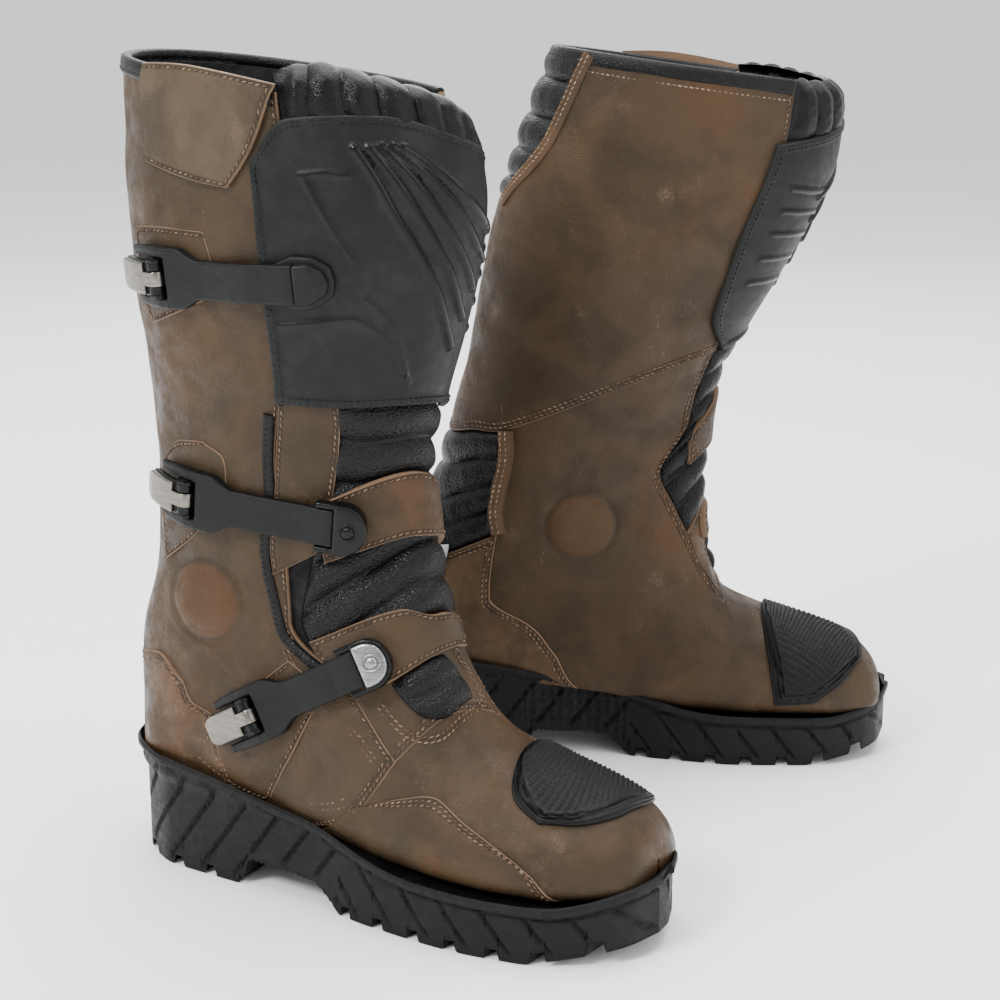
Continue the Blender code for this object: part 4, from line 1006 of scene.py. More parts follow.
# pieces that lie on the leather
plateLook = {
    "border": 5.2, "borderRise": 0.9, "ribRise": 2.2, "ribHalf": 2.4, "slotRise": 1.1, "slotHalf": 1.9,
    "crease": 1.3, "creaseHalf": 1.5,
}
plateRibs = (
    ((.968, -47), (.950, -42), (.922, -36), (.895, -30), (.862, -23), (.832, -16), (.800, -8),
     (.781, -2)),
    ((.969, -42), (.946, -34), (.907, -24), (.880, -18), (.857, -12), (.830, -5), (.809, 2)),
    ((.970, -38), (.951, -29), (.918, -18), (.890, -10), (.869, -4), (.838, 6)),
    ((.970, -34), (.951, -22), (.923, -9), (.900, -1), (.885, 4), (.866, 14)),
    ((.970, -30), (.952, -16), (.931, -2), (.915, 8), (.899, 19)),
)
plateSlots = tuple(((t, 15), (t + 0.004, 29), (t + 0.010, 43))
                   for t in (0.793, 0.820, 0.848, 0.876, 0.904))
plateCreases = (
    ((.951, -66), (.953, -58), (.952, -50)),
    ((.948, -64), (.914, -57), (.884, -51)),
    ((.835, -75), (.832, -62), (.830, -52), (.804, -38), (.778, -30), (.757, -24)),
    ((.845, -46), (.822, -38), (.790, -31), (.768, -27)),
)


def makePlate(side):
    lean = boot["lean"][side]
    over, wall = boot["overlayGap"], boot["plateWall"]
    plate = Patch([(0.774, -79), (0.745, -40), (0.724, 0), (0.718, 31)],
                  [(0.718, 31), (0.778, 53), (0.879, 58), (0.955, 58)],
                  [(0.955, -82), (0.984, -67), (0.990, -36), (0.974, 0), (0.962, 30), (0.955, 58)],
                  [(0.774, -79), (0.86, -80), (0.955, -82)], roundness=0.10)

    def relief(base, t, a, edge, dist):
        border = np.clip((plateLook["border"] - edge) / 1.0, 0, 1)
        high = plateLook["borderRise"] * border * border * (3 - 2 * border)
        gloss = np.zeros(base.shape[:2])
        for group, half, rise in ((plateRibs, plateLook["ribHalf"], plateLook["ribRise"]),
                                  (plateSlots, plateLook["slotHalf"], plateLook["slotRise"])):
            for line in group:
                d = lineDistance(base, densePath(list(line), 1.0), lean)
                shape = np.clip(1 - (d / half) ** 2, 0, 1) ** 0.5
                high = np.maximum(high, rise * shape)
                gloss = np.maximum(gloss, np.clip((half - d) / 0.5, 0, 1))
                high = high - 0.35 * np.exp(-((d - half - 0.8) / 0.5) ** 2)
        for line in plateCreases:
            d = lineDistance(base, densePath(list(line), 1.0), lean)
            high = high + plateLook["crease"] * np.exp(-(d / plateLook["creaseHalf"]) ** 2)
            gloss = np.maximum(gloss, 0.8 * np.exp(-(d / 1.4) ** 2))
        return high, {"gloss": gloss}

    made = panelPiece(side + "_plate_shell", side, plate, plateFinish,
                      {"high": over + wall, "low": over - 0.2, "free": "btlr", "step": 1.15, "round": 1.2,
                       "relief": relief, "slot": "plate_plastic", "body": "shin_flap", "uneven": 0.15,
                       "rows": (), "sharp": 60})
    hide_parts(side + "_shin_plate")
    for gap in (2.0, 4.0):
        for edge in "btlr":
            sew(side, "shin_flap", "black", plate.row(edge, gap, lean, 3.0), over + wall + 0.95)


padLook = {"ribs": 8.6, "ribPitch": 2.5, "ribRise": 0.6, "pointPitch": 2.1, "pointRise": 1.05}


def makeOverlays(side):
    over = boot["overlayGap"]
    flap = Patch([(0.950, -121), (0.945, -104), (0.940, -89)], [(0.940, -89), (0.966, -79), (1.010, -68)],
                 [(1.006, -119), (1.013, -95), (1.010, -68)],
                 [(0.950, -121), (0.976, -122), (1.006, -119)],
                 roundness=0.14)
    made = panelPiece(side + "_flap_leather", side, flap, flapLeather,
                      {"high": over + 2.1, "low": over - 0.1, "free": "btlr", "step": 1.5,
                       "slot": "brown_leather",
                       "body": "top_flap", "rows": (("t", 2.2), ("r", 2.2), ("b", 2.2)), "uneven": 0.5,
                       "seed": 61})
    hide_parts(side + "_top_flap")

    pad = Patch([(0.150, -55), (0.100, -47), (0.060, -20), (0.050, 18), (0.060, 46)],
                [(0.060, 46), (0.108, 76), (0.170, 92), (0.245, 99)],
                [(0.196, -10), (0.205, 20), (0.222, 60), (0.245, 99)],
                [(0.150, -55), (0.183, -42), (0.196, -10)],
                roundness=0.12)

    def bumps(base, t, a, edge, dist):
        look = padLook
        rings = look["ribRise"] * np.cos(edge * 2 * math.pi / look["ribPitch"])
        rings = rings * np.clip((look["ribs"] - edge) / 0.8, 0, 1) * np.clip(edge / 1.2, 0, 1)
        rows = [np.sin(dist[way] * math.pi / look["pointPitch"]) for way in "lb"]
        grid = np.clip(rows[0] * rows[1], -0.15, 1)
        return rings + look["pointRise"] * grid * np.clip((edge - look["ribs"] - 0.4) / 0.8, 0, 1)

    made = panelPiece(side + "_toe_rubber", side, pad, rubberFinish,
                      {"high": over + 0.7, "low": -0.4, "free": "btlr", "step": 0.75, "round": 1.6,
                       "relief": bumps, "slot": "pad_rubber", "uneven": 0.1, "sharp": 70})
    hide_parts(side + "_toe_pad")

    straps = {
        "ankle_strap": ("ankle_strap_leather",
                        ([(0.628, -53), (0.600, -20), (0.584, 0), (0.577, 27)],
                         [(0.577, 27), (0.622, 27)],
                         [(0.680, -53), (0.668, -20), (0.655, 0), (0.622, 27)],
                         [(0.628, -53), (0.680, -53)])),
        "instep_strap": ("instep_strap_leather",
                         ([(0.508, -61), (0.470, -45), (0.439, -6), (0.43, 14)],
                          [(0.43, 14), (0.482, 14)],
                          [(0.572, -62), (0.532, -29), (0.498, -12), (0.482, 14)],
                          [(0.508, -61), (0.572, -62)])),
    }
    for name, (node, edges) in straps.items():
        made = panelPiece(f"{side}_{name}", side, Patch(*edges, roundness=0.12), brownLeather,
                          {"high": over + 2.6, "low": over - 1.2, "free": "btlr", "step": 1.4,
                           "round": 1.3,
                           "slot": "brown_leather",
                           "rows": (("t", 2.3), ("b", 2.3), ("l", 2.3), ("r", 2.3)),
                           "uneven": 0.6, "seed": 67})
        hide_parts(f"{side}_{node}")

    mark = Patch([(0.650, 122), (0.655, 150), (0.658, 178)], [(0.658, 178), (0.690, 178)],
                 [(0.662, 122), (0.676, 150), (0.690, 178)], [(0.650, 122), (0.662, 122)])
    panelPiece(side + "_reflector", side, mark, reflectorFinish,
               {"high": 4.4, "low": 1.0, "free": "btlr", "step": 1.0, "round": 0.5,
                "slot": "brown_leather",
                "uneven": 0.1, "thread": "light"})


# sole and inside
soleLook = {
    "randAt": (0, 40, 110, 180, 270), "rand": (15, 14, 7, 3, 4, 7), "cup": 3.2, "welt": 2.2,
    "weltHeight": 5.0,
    "toothPitch": 22.0, "groove": 7.0, "tread": 5.5, "split": 15.0, "slashPitch": 22.0, "slash": 1.3,
    "cupAt": (0, 90, 150, 240), "cupShare": (0.9, 0.9, 0.4, 0.3, 0.0), "archField": 62.0,
}


def soleHalves(x):
    s = np.clip(x / boot["soleLength"], 0, 1)
    heel, half = boot["ankleWidth"] / 2 - 2, boot["ballWidth"] / 2
    knots = (0.0, 0.02, 0.06, 0.12, 0.24, 0.40, 0.55, 0.70, 0.82, 0.92, 0.975, 1.0)
    inner = (0, heel * 0.42, heel * 0.72, heel * 0.93, heel * 0.93, heel * 0.82, half * 0.84, half,
             half * 0.98,
             half * 0.84, half * 0.56, 6)
    outer = (0, heel * 0.42, heel * 0.72, heel * 0.95, heel * 1.02, heel * 1.08, half * 1.03, half * 1.10,
             half * 1.02, half * 0.76, half * 0.46, 6)
    return smoothCurve(knots, inner)(s), smoothCurve(knots, outer)(s)


def soleBottom(x):
    block, rise = boot["heelBlock"], boot["archRise"]
    return np.interp(x, [0, 9, block, block + 6, block + 50, block + 66, 0.83 * boot["soleLength"],
                         boot["soleLength"]], [6, 0, 0, rise, rise - 2, 0, 0, boot["toeSpring"]])


def makeSole(side):
    length = boot["soleLength"]
    ends = (1 - np.cos(np.linspace(0, math.pi / 2, 16))) * 14
    xs = np.concatenate([ends, np.arange(15, length - 15, 0.85), length - ends[::-1]])
    inner, outer = soleHalves(xs)
    inner, outer = np.maximum(inner, 0.6), np.maximum(outer, 0.6)
    slopeIn, slopeOut = np.gradient(inner, xs), np.gradient(outer, xs)
    low, flat = soleBottom(xs), soleTop(xs)
    high = flat + np.interp(xs, [*soleLook["randAt"], length], soleLook["rand"])
    share = np.linspace(-1, 1, 61)
    rows = np.concatenate([[0, 0.03, 0.08], np.linspace(0.13, 0.97, 26), [1.0]])
    topShare = np.linspace(1, -1, 13)
    loops = []
    for i, x in enumerate(xs):
        y = np.where(share < 0, share * outer[i], share * inner[i])
        bent = (x + 0.22 * np.abs(y) * (1 if x > 140 else -1)) % soleLook["toothPitch"]
        cross = np.clip((soleLook["groove"] / 2 - np.abs(bent - soleLook["toothPitch"] / 2)) / 0.6, 0, 1)
        split = np.clip((1.9 - np.abs(np.abs(y) - soleLook["split"])) / 0.6, 0, 1)
        worn = soleLook["tread"] * np.maximum(cross, 0.8 * split)
        arch = boot["heelBlock"] < x < boot["heelBlock"] + soleLook["archField"]
        worn = np.where(arch, 0.8 * np.clip(np.sin((x + y) * 0.9) * np.sin((x - y) * 0.9) * 3, 0, 1),
                        worn)
        tread = np.stack([np.full(61, x), y, low[i] + worn * np.clip((length - 6 - x) / 6, 0, 1)], 1)
        walls = []
        for sign, half, slope in ((1, inner[i], slopeIn[i]), (-1, outer[i], slopeOut[i])):
            foot = tread[-1, 2] if sign > 0 else tread[0, 2]
            z = foot + (high[i] - foot) * rows
            fromTop = high[i] - z
            out = np.where(fromTop < soleLook["weltHeight"], soleLook["welt"], 0.0)
            out = out * np.clip((fromTop + 0.2) / 1.2, 0.35, 1)
            tall = np.clip((z - foot - 2) / 3, 0, 1) * np.clip((fromTop - soleLook["weltHeight"]
                                                                - 1) / 3, 0, 1)
            slant = (x + 0.75 * z * (1 if x > 150 else -1)) % soleLook["slashPitch"]
            slash = np.clip((1.5 - np.abs(slant - soleLook["slashPitch"] / 2)) / 0.6, 0, 1)
            seam = np.exp(-((fromTop - soleLook["weltHeight"] - 2.2) / 0.8) ** 2)
            out = out - soleLook["slash"] * tall * slash - 0.9 * seam
            out = out - 0.8 * tall * (arch and sign > 0) * np.clip(np.sin((x + z) * 0.55)
                                                                   * np.sin((x - z) * 0.55) * 4, 0, 1)
            out = out - 1.0 * np.clip(1 - (z - foot) / 1.4, 0, 1)
            cup = np.interp(x, [*soleLook["cupAt"], length], soleLook["cupShare"])
            out = out + soleLook["cup"] * cup * np.clip((z - flat[i] + 3) / 6, 0, 1)
            n = np.array([-slope, 1.0])
            n /= np.linalg.norm(n)
            way = np.array([n[0], n[1] * sign])
            walls.append(np.stack([x + out * way[0], sign * half + out * way[1], z], 1))
        top = np.stack([np.full(13, x), np.where(topShare < 0, topShare * outer[i], topShare * inner[i]),
                        np.full(13, flat[i] - 0.5 + (high[i] - flat[i]) * (min(x, length - x) < 2.2))], 1)
        top = top * [1, 0.93, 1]
        loops.append(np.concatenate([tread, walls[0][1:], top, walls[1][::-1][:-1]]))
    points = np.stack(loops)
    count, columns = points.shape[:2]
    faces = quadGrid(count, columns, 0, True).tolist()
    faces += [list(range(columns))[::-1], list(range((count - 1) * columns, count * columns))]
    made = addPiece(side + "_sole_rubber", side, points, faces, soleFinish, "boot", "sole_rubber", None,
                    32)
    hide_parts(side + "_outsole")


def makeLining(side):
    lean = boot["lean"][side]
    rows = np.concatenate([np.linspace(0.05, 0.12, 8), np.linspace(0.14, 0.5, 22),
                           np.linspace(0.52, 0.994, 50)])
    around = np.linspace(0, 360, 110, endpoint=False)
    t, a = np.meshgrid(rows, around, indexing="ij")
    skins = []
    for depth, floor in ((3.2, 5.6), (6.6, 8.0)):
        p = skin(t, a, -depth - 0.5 * waves(lastPoint(t, a, lean), 40.0, 71) * (depth > 4), lean)
        p[..., 2] = np.maximum(p[..., 2], soleTop(p[..., 0]) + floor)
        skins.append(p)
    skins[1][0, :, 0] -= 2.4
    columns, count = len(around), len(rows) * len(around)
    outer = quadGrid(len(rows), columns, 0, True)
    faces = outer.tolist() + (outer[:, ::-1] + count).tolist()
    faces += [list(range(columns))[::-1], [i + count for i in range(columns)]]
    rim = (len(rows) - 1) * columns
    faces += [[rim + j, rim + (j + 1) % columns, rim + (j + 1) % columns + count, rim + j + count]
              for j in range(columns)]
    points = np.concatenate([skins[0].reshape(-1, 3), skins[1].reshape(-1, 3)])
    made = addPiece(side + "_lining_cloth", side, points, faces, liningFinish, "boot", "lining_cloth")
    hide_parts(side + "_lining")


def dressed(node, finish, bevel):
    # a copy of a CAD solid with softened edges and its own finish
    source = frame["nodes"][node]
    mesh = source.data.copy()
    mesh.materials.clear()
    mesh.materials.append(finish)
    piece = bpy.data.objects.new(node + "_shape", mesh)
    bpy.context.scene.collection.objects.link(piece)
    weld = piece.modifiers.new("weld", "WELD")
    weld.merge_threshold = 0.00001
    flat = piece.modifiers.new("flat", "DECIMATE")
    flat.decimate_type = "DISSOLVE"
    flat.angle_limit = math.radians(3)
    soft = piece.modifiers.new("soft", "BEVEL")
    soft.width = bevel * 0.001
    soft.segments = 2
    soft.limit_method = "ANGLE"
    soft.angle_limit = math.radians(32)
    soft.harden_normals = False
    mesh.shade_smooth()
    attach(piece, body_of(source)[0])
    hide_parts(node)
    return piece


buckleSites = {
    "upper": {"buckle": (0.880, -116), "receiver": (0.868, -67), "deck": 4.3, "edge": -84},
    "middle": {"buckle": (0.733, -110), "receiver": (0.652, -46), "deck": 3.7, "edge": -56},
    "lower": {"buckle": (0.557, -85), "receiver": (0.510, -50), "deck": 3.7, "edge": -66},
}
buckleLook = {"strapWidth": 19.0, "strapLift": 0.8, "pinHeight": 6.3}


class Carrier:
    # the plane a strap bends in, and the line it follows over the boot
    def __init__(self, site, lean):
        start, end = lastPoint(*site["buckle"], lean), lastPoint(*site["receiver"], lean)
        normal = lastNormal(*site["buckle"], lean) + lastNormal(*site["receiver"], lean)
        self.x = (end - start) / np.linalg.norm(end - start)
        normal = normal - self.x * normal.dot(self.x)
        self.z = normal / np.linalg.norm(normal)
        self.y = np.cross(self.z, self.x)
        self.origin = start
        (bt, ba), (rt, ra) = site["buckle"], site["receiver"]
        t, a = np.meshgrid(np.linspace(min(bt, rt) - 0.07, max(bt, rt) + 0.07, 60),
                           np.linspace(ba - 55, ra + 40, 160),
                           indexing="ij")
        offset = np.where(a > site["edge"], site["deck"], 0.0)[..., None]
        cloud = lastPoint(t, a, lean) + offset * lastNormal(t, a, lean) - start
        cloud = np.stack([cloud @ self.x, cloud @ self.y, cloud @ self.z], -1).reshape(-1, 3)
        cloud = cloud[np.abs(cloud[:, 1]) < buckleLook["strapWidth"] * 0.72]
        span = np.linalg.norm(end - start)
        tops = []
        for x in np.arange(-38.0, span + 22.0, 2.0):
            near = cloud[np.abs(cloud[:, 0] - x) < 1.6]
            if len(near):
                tops.append((x, near[:, 2].max() + buckleLook["strapLift"]))
        hull = []
        for c in tops:
            while len(hull) > 1:
                p, q = hull[-2], hull[-1]
                if (q[0] - p[0]) * (c[1] - p[1]) - (q[1] - p[1]) * (c[0] - p[0]) < 0:
                    break
                hull.pop()
            hull.append(c)
        hull = np.array(hull)
        fine = np.linspace(hull[0, 0], hull[-1, 0], 400)
        height = np.interp(fine, hull[:, 0], hull[:, 1])
        kernel = np.exp(-0.5 * (np.arange(-30, 31) / 11.0) ** 2)
        padded = np.concatenate([height[0] + (height[0] - height[30:0:-1]), height,
                                 height[-1] + (height[-1] - height[-2:-32:-1])])
        smooth = np.convolve(padded, kernel / kernel.sum(), "same")[30:-30]
        smooth = smooth + np.maximum(0, (height - smooth)).max()
        self.line = np.stack([fine, smooth], 1)
        run = np.concatenate([[0], np.cumsum(np.linalg.norm(np.diff(self.line, axis=0), axis=1))])
        self.run = run - np.interp(0.0, fine, run)
        self.length = float(np.interp(span, fine, self.run))

    def at(self, s, y, h):
        s, y, h = np.broadcast_arrays(np.asarray(s, float), np.asarray(y, float), np.asarray(h, float))
        here = [np.interp(s, self.run, self.line[:, i]) for i in (0, 1)]
        ahead = [np.interp(s + 1.0, self.run, self.line[:, i]) for i in (0, 1)]
        behind = [np.interp(s - 1.0, self.run, self.line[:, i]) for i in (0, 1)]
        d = np.stack([ahead[0] - behind[0], ahead[1] - behind[1]], -1)
        d = d / np.linalg.norm(d, axis=-1, keepdims=True)
        fx, fz = here[0] - d[..., 1] * h, here[1] + d[..., 0] * h
        return self.origin + fx[..., None] * self.x + y[..., None] * self.y + fz[..., None] * self.z


def rodOn(carrier, s, h, radius, y0, y1, sides=20):
    # a headed pin across the strap
    points, steps = [], ((y0, 0.8), (y0 + 0.25 * np.sign(y1 - y0), 1.0),
                         (y1 - 0.25 * np.sign(y1 - y0), 1.0), (y1, 0.8))
    for y, r in steps:
        for j in range(sides):
            w = 2 * math.pi * j / sides
            points.append(carrier.at(s + radius * r * math.cos(w), y, h + radius * r * math.sin(w)))
    faces = quadGrid(len(steps), sides, 0, True).tolist()
    last = (len(steps) - 1) * sides
    faces += [list(range(sides))[::-1], list(range(last, last + sides))]
    return np.array(points), faces


def runsOf(length, step):
    near = [0, 0.15, 0.5, 1.0, 1.6]
    plain = [x for x in np.arange(2.4, length - 2.2, step)]
    return np.array(near + plain + [length - x for x in reversed(near)])


def rounding(distance, radius):
    return radius - np.sqrt(np.maximum(radius ** 2 - (radius - np.minimum(distance, radius)) ** 2, 0))


def blockOn(carrier, s0, s1, low, high, halfLow, halfHigh, radius=1.0, step=1.2):
    # a rounded bar along the strap's line; low, high and the two side lines may vary with the run
    s = s0 + runsOf(s1 - s0, step)
    lo, hi = np.vectorize(halfLow)(s), np.vectorize(halfHigh)(s)
    across = runsOf(float((hi - lo).max()), step)
    across = across / across[-1]
    ss = np.repeat(s[:, None], len(across), 1)
    y = lo[:, None] + (hi - lo)[:, None] * across[None]
    edge = np.minimum(np.minimum(ss - s0, s1 - ss), np.minimum(y - lo[:, None], hi[:, None] - y))
    drop = rounding(np.maximum(edge, 0), radius)
    top = np.vectorize(high)(s)[:, None] - drop
    under = np.vectorize(low)(s)[:, None] + np.minimum(drop, 0.4)
    return closedSheet(carrier.at(ss, y, top), carrier.at(ss, y, under))


def slabOn(carrier, outline, low, high, crown=0.3, tilt=0.0):
    # a convex slab from its outline of (run, across) points, with a rounded upper edge
    corners = np.array(outline, float)
    ring = np.vstack([corners, corners[:1]])
    run = np.concatenate([[0], np.cumsum(np.linalg.norm(np.diff(ring, axis=0), axis=1))])
    at = np.linspace(0, run[-1], 97)[:-1]
    loop = np.stack([np.interp(at, run, ring[:, k]) for k in (0, 1)], 1)
    for _ in range(2):
        loop = (np.roll(loop, 1, 0) + 2 * loop + np.roll(loop, -1, 0)) / 4
    middle = loop.mean(0)
    tangent = np.roll(loop, -1, 0) - np.roll(loop, 1, 0)
    inward = np.stack([-tangent[:, 1], tangent[:, 0]], 1)
    inward /= np.linalg.norm(inward, axis=1, keepdims=True)
    if ((middle - loop) * inward).sum() < 0:
        inward = -inward
    rings = [(loop, low), (loop, high - 1.3), (loop + 0.15 * inward, high - 0.7),
             (loop + 0.6 * inward, high - 0.2),
             (loop + 1.4 * inward, high)]
    last = rings[-1][0]
    rings += [(middle + (last - middle) * k, high + crown * (1 - k * k)) for k in (0.75, 0.5, 0.25, 0.03)]
    points = np.concatenate([carrier.at(r[:, 0], r[:, 1], h - tilt * (r[:, 0] - middle[0])) for r,
                             h in rings])
    faces = quadGrid(len(rings), 96, 0, True).tolist()
    faces += [list(range(96))[::-1], list(range((len(rings) - 1) * 96, len(rings) * 96))]
    return points, faces


def joinShapes(shapes):
    points, faces, start = [], [], 0
    for p, f in shapes:
        p = np.asarray(p).reshape(-1, 3)
        f = [list(map(int, face)) for face in f]
        quads = np.array([(g[0], g[i], g[i + 1]) for g in f for i in range(1, len(g) - 1)])
        a, b, c = p[quads[:, 0]], p[quads[:, 1]], p[quads[:, 2]]
        if np.einsum("ij,ij->", a - p[0], np.cross(b - p[0], c - p[0])) < 0:
            f = [g[::-1] for g in f]
        faces += [[i + start for i in g] for g in f]
        points.append(p)
        start += len(p)
    return np.concatenate(points), faces


leverLook = {"reach": 29.0, "half": 7.9, "neck": 3.5, "notch": 4.6, "knuckle": 4.5, "wall": 1.8,
             "fall": 3.6}
forkLook = {"arms": 21.0, "inside": 9.9, "outside": 15.0, "neckStart": 13.0, "neckEnd": 27.0,
            "strapHalf": 9.5}


def makeStrap(side, which, carrier):
    look, length = forkLook, carrier.length

    def half(s):
        k = min(1.0, max(0.0, (s - look["neckStart"]) / (look["neckEnd"] - look["neckStart"])))
        return look["outside"] + (look["strapHalf"] - look["outside"]) * k * k * (3 - 2 * k)

    def top(s):
        k = min(1.0, max(0.0, (s - 6) / 24))
        rise = min(1.0, max(0.0, (s - length + 16) / 12))
        return 6.4 - 2.6 * k + 2.0 * rise

    shapes = [blockOn(carrier, 6.0, length - 0.6, lambda s: 0.2 if s < length - 14 else 1.6, top,
                      lambda s: -half(s), half, 1.1)]
    for sign in (-1, 1):
        inside, outside = look["inside"], look["outside"]
        widths = sorted((sign * inside, sign * outside))
        shapes.append(blockOn(carrier, -look["arms"], 7.5, lambda s: 0.4 + 0.035 * max(0, -s),
                              lambda s: 6.4 - 0.11 * max(0.0, -s),
                              lambda s: widths[0] if sign > 0 else widths[0] + 0.08 * max(0.0, -s - 8),
                              lambda s: widths[1] if sign < 0 else widths[1] - 0.08 * max(0.0, -s - 8),
                              1.1))
    points, faces = joinShapes(shapes)
    made = addPiece(f"{side}_{which}_strap_band", side, points, faces, strapFinish, f"{which}_strap",
                    "strap_plastic", None, 50, False)
    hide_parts(f"{side}_{which}_strap")


def makeLever(side, which, carrier):
    look, pin = leverLook, buckleLook["pinHeight"]

    def crest(s):
        back = max(0.0, -s)
        return pin + look["knuckle"] - look["fall"] * (back / look["reach"]) ** 1.6

    def plan(s):
        tip = min(1.0, max(0.0, (-s - look["reach"] + 7) / 7))
        return look["half"] * (1 - 0.42 * tip ** 2.2)

    shapes = [blockOn(carrier, -look["reach"], -look["notch"], lambda s: crest(s) - look["wall"] - 0.3,
                      crest,
                      lambda s: -plan(s), plan, 0.7, 1.0)]
    angles = np.linspace(math.radians(168), math.radians(-40), 26)
    ringOut = np.stack([look["knuckle"] * np.cos(angles), pin + look["knuckle"] * np.sin(angles)], 1)
    ringIn = np.stack([(look["knuckle"] - 1.6) * np.cos(angles),
                       pin + (look["knuckle"] - 1.6) * np.sin(angles)], 1)
    ringOut = np.vstack([[(-look["notch"] - 1.2, crest(-look["notch"] - 1.2) - 0.05)],
                         [(-2.0, pin + look["knuckle"] - 0.1)],
                         ringOut[(angles < math.radians(95))]])
    ringIn = np.vstack([[(-look["notch"] - 1.2, crest(-look["notch"]) - 1.8)],
                        [(-2.0, pin + look["knuckle"] - 1.8)],
                        ringIn[(angles < math.radians(95))]])
    y = np.array([-look["neck"], -look["neck"] + 0.25, 0, look["neck"] - 0.25, look["neck"]])
    lift = np.array([-0.25, 0, 0, 0, -0.25])
    outer = carrier.at(ringOut[:, :1], y[None], ringOut[:, 1:] + lift[None])
    inner = carrier.at(ringIn[:, :1], y[None], ringIn[:, 1:])
    shapes.append(closedSheet(outer, inner))
    points, faces = joinShapes(shapes)
    made = addPiece(f"{side}_{which}_lever_plate", side, points, faces, steelFinish, f"{which}_lever",
                    "lever_steel",
                    None, 40, False)
    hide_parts(f"{side}_{which}_lever")
    # black inner part under the lever
    under = [blockOn(carrier, -look["reach"] + 4.0, -2.0, lambda s: crest(s) - 5.2,
                     lambda s: crest(s) - look["wall"],
                     lambda s: -plan(s) - 0.7, lambda s: plan(s) + 0.7, 0.8)]
    for sign in (-1, 1):
        under.append(rodOn(carrier, 0, pin, 3.7, sign * (look["neck"] + 0.3), sign * look["half"]))
    points, faces = joinShapes(under)
    addPiece(f"{side}_{which}_lever_core", side, points, faces, buckleFinish, f"{which}_lever",
             "buckle_plastic",
             None, 40, False)


def roundedEnd(start, reach, half, count=17):
    turn = np.linspace(-math.pi / 2, math.pi / 2, count)
    outline = [(start, -half)] + [(start + reach - half * 0.86 + half * 0.86 * math.cos(k),
                                   half * math.sin(k)) for k in turn]
    return outline + [(start, half)]


# radius and height of each ring of a rivet's head
rivetSteps = ((4.6, -0.6), (4.6, 0.15), (4.1, 0.45), (3.5, 0.35), (3.3, -0.1), (3.1, -0.1), (3.0, 0.5),
              (2.5, 1.1), (1.5, 1.5), (0.3, 1.6))


def makeReceiver(side, which, carrier):
    length = carrier.length
    if which == "upper":
        hexagon = [(length - 0.4, -9.4), (length + 6.5, -9.6), (length + 13.5, -5.6), (length + 15.5, 0),
                   (length + 13.5, 5.6), (length + 6.5, 9.6), (length - 0.4, 9.4)]
        shapes = [slabOn(carrier, hexagon, -3.0, 6.2, 0.5, 0.12)]
        skirt = [(length - 12, -9), (length - 2, -13.0), (length + 8, -12.0), (length + 16.5, -7.0),
                 (length + 18, 0),
                 (length + 16.5, 7.0), (length + 8, 12.0), (length - 2, 13.0), (length - 12, 9)]
        shapes.append(slabOn(carrier, skirt, -3.4, 1.7, 0.2))
        points, faces = joinShapes(shapes)
        count = len(points)
        addPiece(f"{side}_upper_nose", side, points, faces, plateFinish, "shin_flap", "plate_plastic",
                 {"edge": np.full(count, 9.0), "gloss": np.full(count, 0.06)}, 38, False)
        return
    outline = roundedEnd(length - 0.4, 16.0, 13.0)
    shapes = [slabOn(carrier, outline, -0.4, 7.6, 0.5)]
    for sign in (-1, 1):
        edges = sorted((sign * 10.0, sign * 13.0))
        shapes.append(blockOn(carrier, length - 9.5, length + 2.0, lambda s: -0.2,
                              lambda s: 6.0 + 0.06 * (s - length),
                              lambda s: edges[0], lambda s: edges[1], 1.1))
    points, faces = joinShapes(shapes)
    made = addPiece(f"{side}_{which}_clevis", side, points, faces, buckleFinish, "boot",
                    "buckle_plastic", None, 38, False)
    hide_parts(f"{side}_{which}_receiver")
    metal, slot = (paleMetal, "lever_steel") if which == "lower" else (buckleFinish, "buckle_plastic")
    if which == "lower":
        points, faces = slabOn(carrier, roundedEnd(length + 0.2, 13.6, 10.8), 6.0, 8.6, 0.35)
        addPiece(f"{side}_{which}_cap", side, points, faces, metal, "boot", "lever_steel", None, 38)
    high = 8.9 if which == "lower" else 8.0
    ringPoints = []
    sides = 28
    turn = np.linspace(0, 2 * math.pi, sides, endpoint=False)
    for r, h in rivetSteps:
        ringPoints.append(carrier.at(length + 7.0 + r * np.cos(turn), r * np.sin(turn), high + h))
    points = np.concatenate(ringPoints)
    last = (len(rivetSteps) - 1) * sides
    faces = quadGrid(len(rivetSteps), sides, 0, True).tolist()
    faces += [list(range(sides))[::-1], list(range(last, last + sides))]
    addPiece(f"{side}_{which}_rivet", side, points, faces, metal, "boot", slot, None, 60)


def makeBuckles(side):
    lean = boot["lean"][side]
    for which, site in buckleSites.items():
        carrier = Carrier(site, lean)
        dressed(f"{side}_{which}_base", buckleFinish, 0.35)
        makeStrap(side, which, carrier)
        makeLever(side, which, carrier)
        makeReceiver(side, which, carrier)
        heads = joinShapes([rodOn(carrier, 0, buckleLook["pinHeight"], 2.0, sign * 9.5, sign * 10.2)
                            for sign in (-1, 1)])
        addPiece(f"{side}_{which}_pin_heads", side, *heads, buckleFinish, "boot", "buckle_plastic",
                 None, 40, False)


for side in ("right", "left"):
    makePlate(side)
    makeOverlays(side)
    makeSole(side)
    makeLining(side)
    makeBuckles(side)
    for node, finish in (("footbed", footbedFinish), ("insole_board", boardFinish),
                         ("shank", shankFinish)):
        mesh = frame["nodes"][f"{side}_{node}"].data
        mesh.materials.clear()
        mesh.materials.append(finish)
makeStitches()
print("overlays, soles, linings and buckles made")


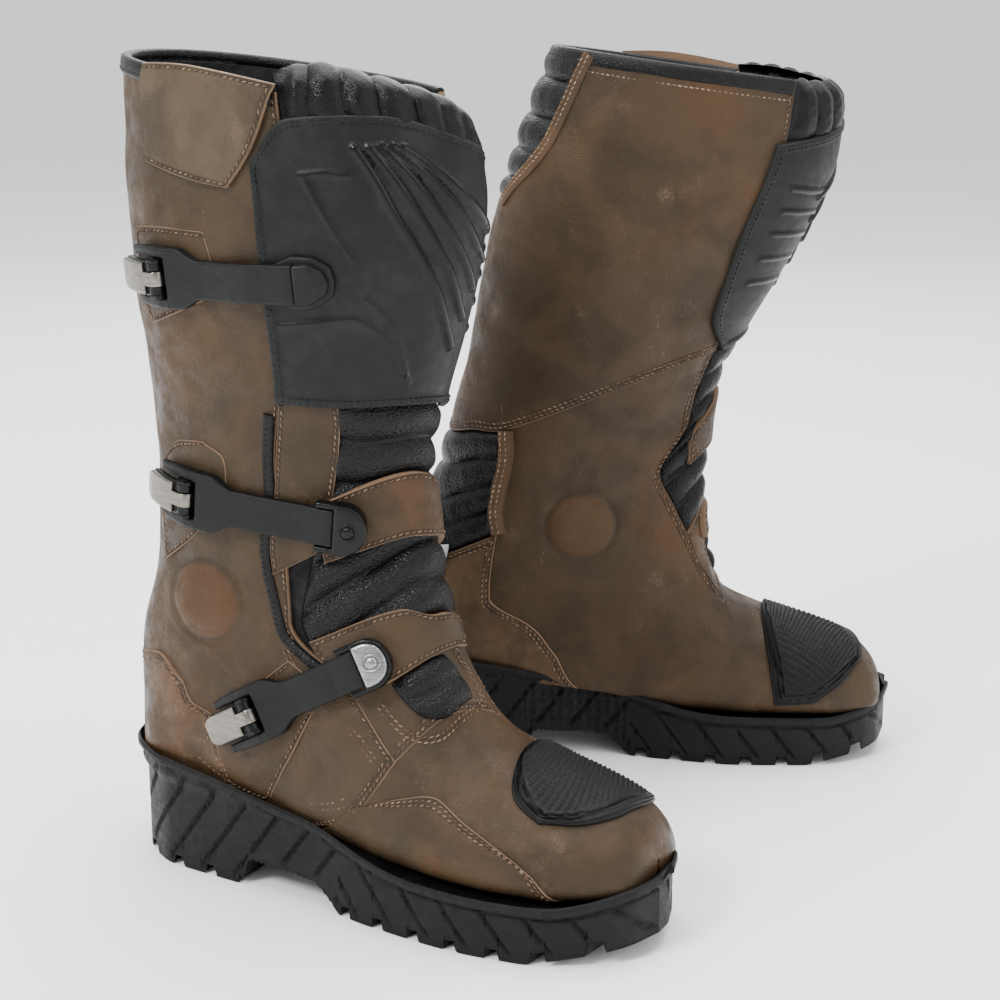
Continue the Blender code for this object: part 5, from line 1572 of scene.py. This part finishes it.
# stage
def softLight(name, spot, aim, size, power):
    data = bpy.data.lights.new(name, "AREA")
    data.shape = "RECTANGLE"
    data.size, data.size_y = size
    data.energy = power
    light = bpy.data.objects.new(name, data)
    light.location = spot
    light.rotation_euler = (Vector(aim) - Vector(spot)).to_track_quat("-Z", "Y").to_euler()
    bpy.context.scene.collection.objects.link(light)


stageLook = {"floor": (0.96, 0.96, 0.96), "world": (0.98, 0.99, 1.0), "worldStrength": 1.12}
floorFinish = Finish("floor", 0.7)
floorColour = floorFinish.mix(floorFinish.ramp(floorFinish.noise(3, 3), 0.3, 0.7), stageLook["floor"],
                              tuple(c * 1.03 for c in stageLook["floor"]))
floorMesh = bpy.data.meshes.new("floor")
floorMesh.from_pydata([(-8, -8, 0), (8, -8, 0), (8, 8, 0), (-8, 8, 0)], [], [(0, 1, 2, 3)])
floorMesh.materials.append(floorFinish.done(floorColour))
floor = bpy.data.objects.new("floor", floorMesh)
floor.location.z = -0.0005
bpy.context.scene.collection.objects.link(floor)

world = bpy.data.worlds.new("studio")
world.use_nodes = True
world.node_tree.nodes["Background"].inputs["Color"].default_value = (*stageLook["world"], 1)
world.node_tree.nodes["Background"].inputs["Strength"].default_value = stageLook["worldStrength"]
bpy.context.scene.world = world
lampLook = {
    "key": {"spot": (-1.0, -1.7, 1.9), "aim": (0, 0, 0.2), "size": (0.7, 0.7), "power": 62},
    "fill": {"spot": (1.9, -0.9, 1.1), "aim": (0, 0, 0.2), "size": (1.2, 1.2), "power": 16},
    "top": {"spot": (0.0, 0.3, 2.4), "aim": (0, 0, 0.1), "size": (2.4, 2.0), "power": 96},
    "back": {"spot": (-0.6, 1.9, 1.4), "aim": (0, 0, 0.3), "size": (1.2, 1.0), "power": 14},
}
for name, look in lampLook.items():
    softLight(name, **look)

cameraLook = {"spot": (650.6, -804.0, 447.7), "azimuth": 28.27, "pitch": 14.2, "lens": 69.29}
az, pitch = math.radians(cameraLook["azimuth"]), math.radians(cameraLook["pitch"])
aside = Vector((math.cos(az), math.sin(az), 0))
behind = Vector((math.sin(az) * math.cos(pitch), -math.cos(az) * math.cos(pitch), math.sin(pitch)))
turn = Matrix((aside, behind.cross(aside), behind)).transposed().to_4x4()
turn.translation = Vector(cameraLook["spot"]) * 0.001
cameraData = bpy.data.cameras.new("camera")
cameraData.lens = cameraLook["lens"]
cameraData.clip_start = 0.05
camera = bpy.data.objects.new("camera", cameraData)
bpy.context.scene.collection.objects.link(camera)
camera.matrix_world = places["right"] @ turn
bpy.context.scene.camera = camera

print("stage and camera set")
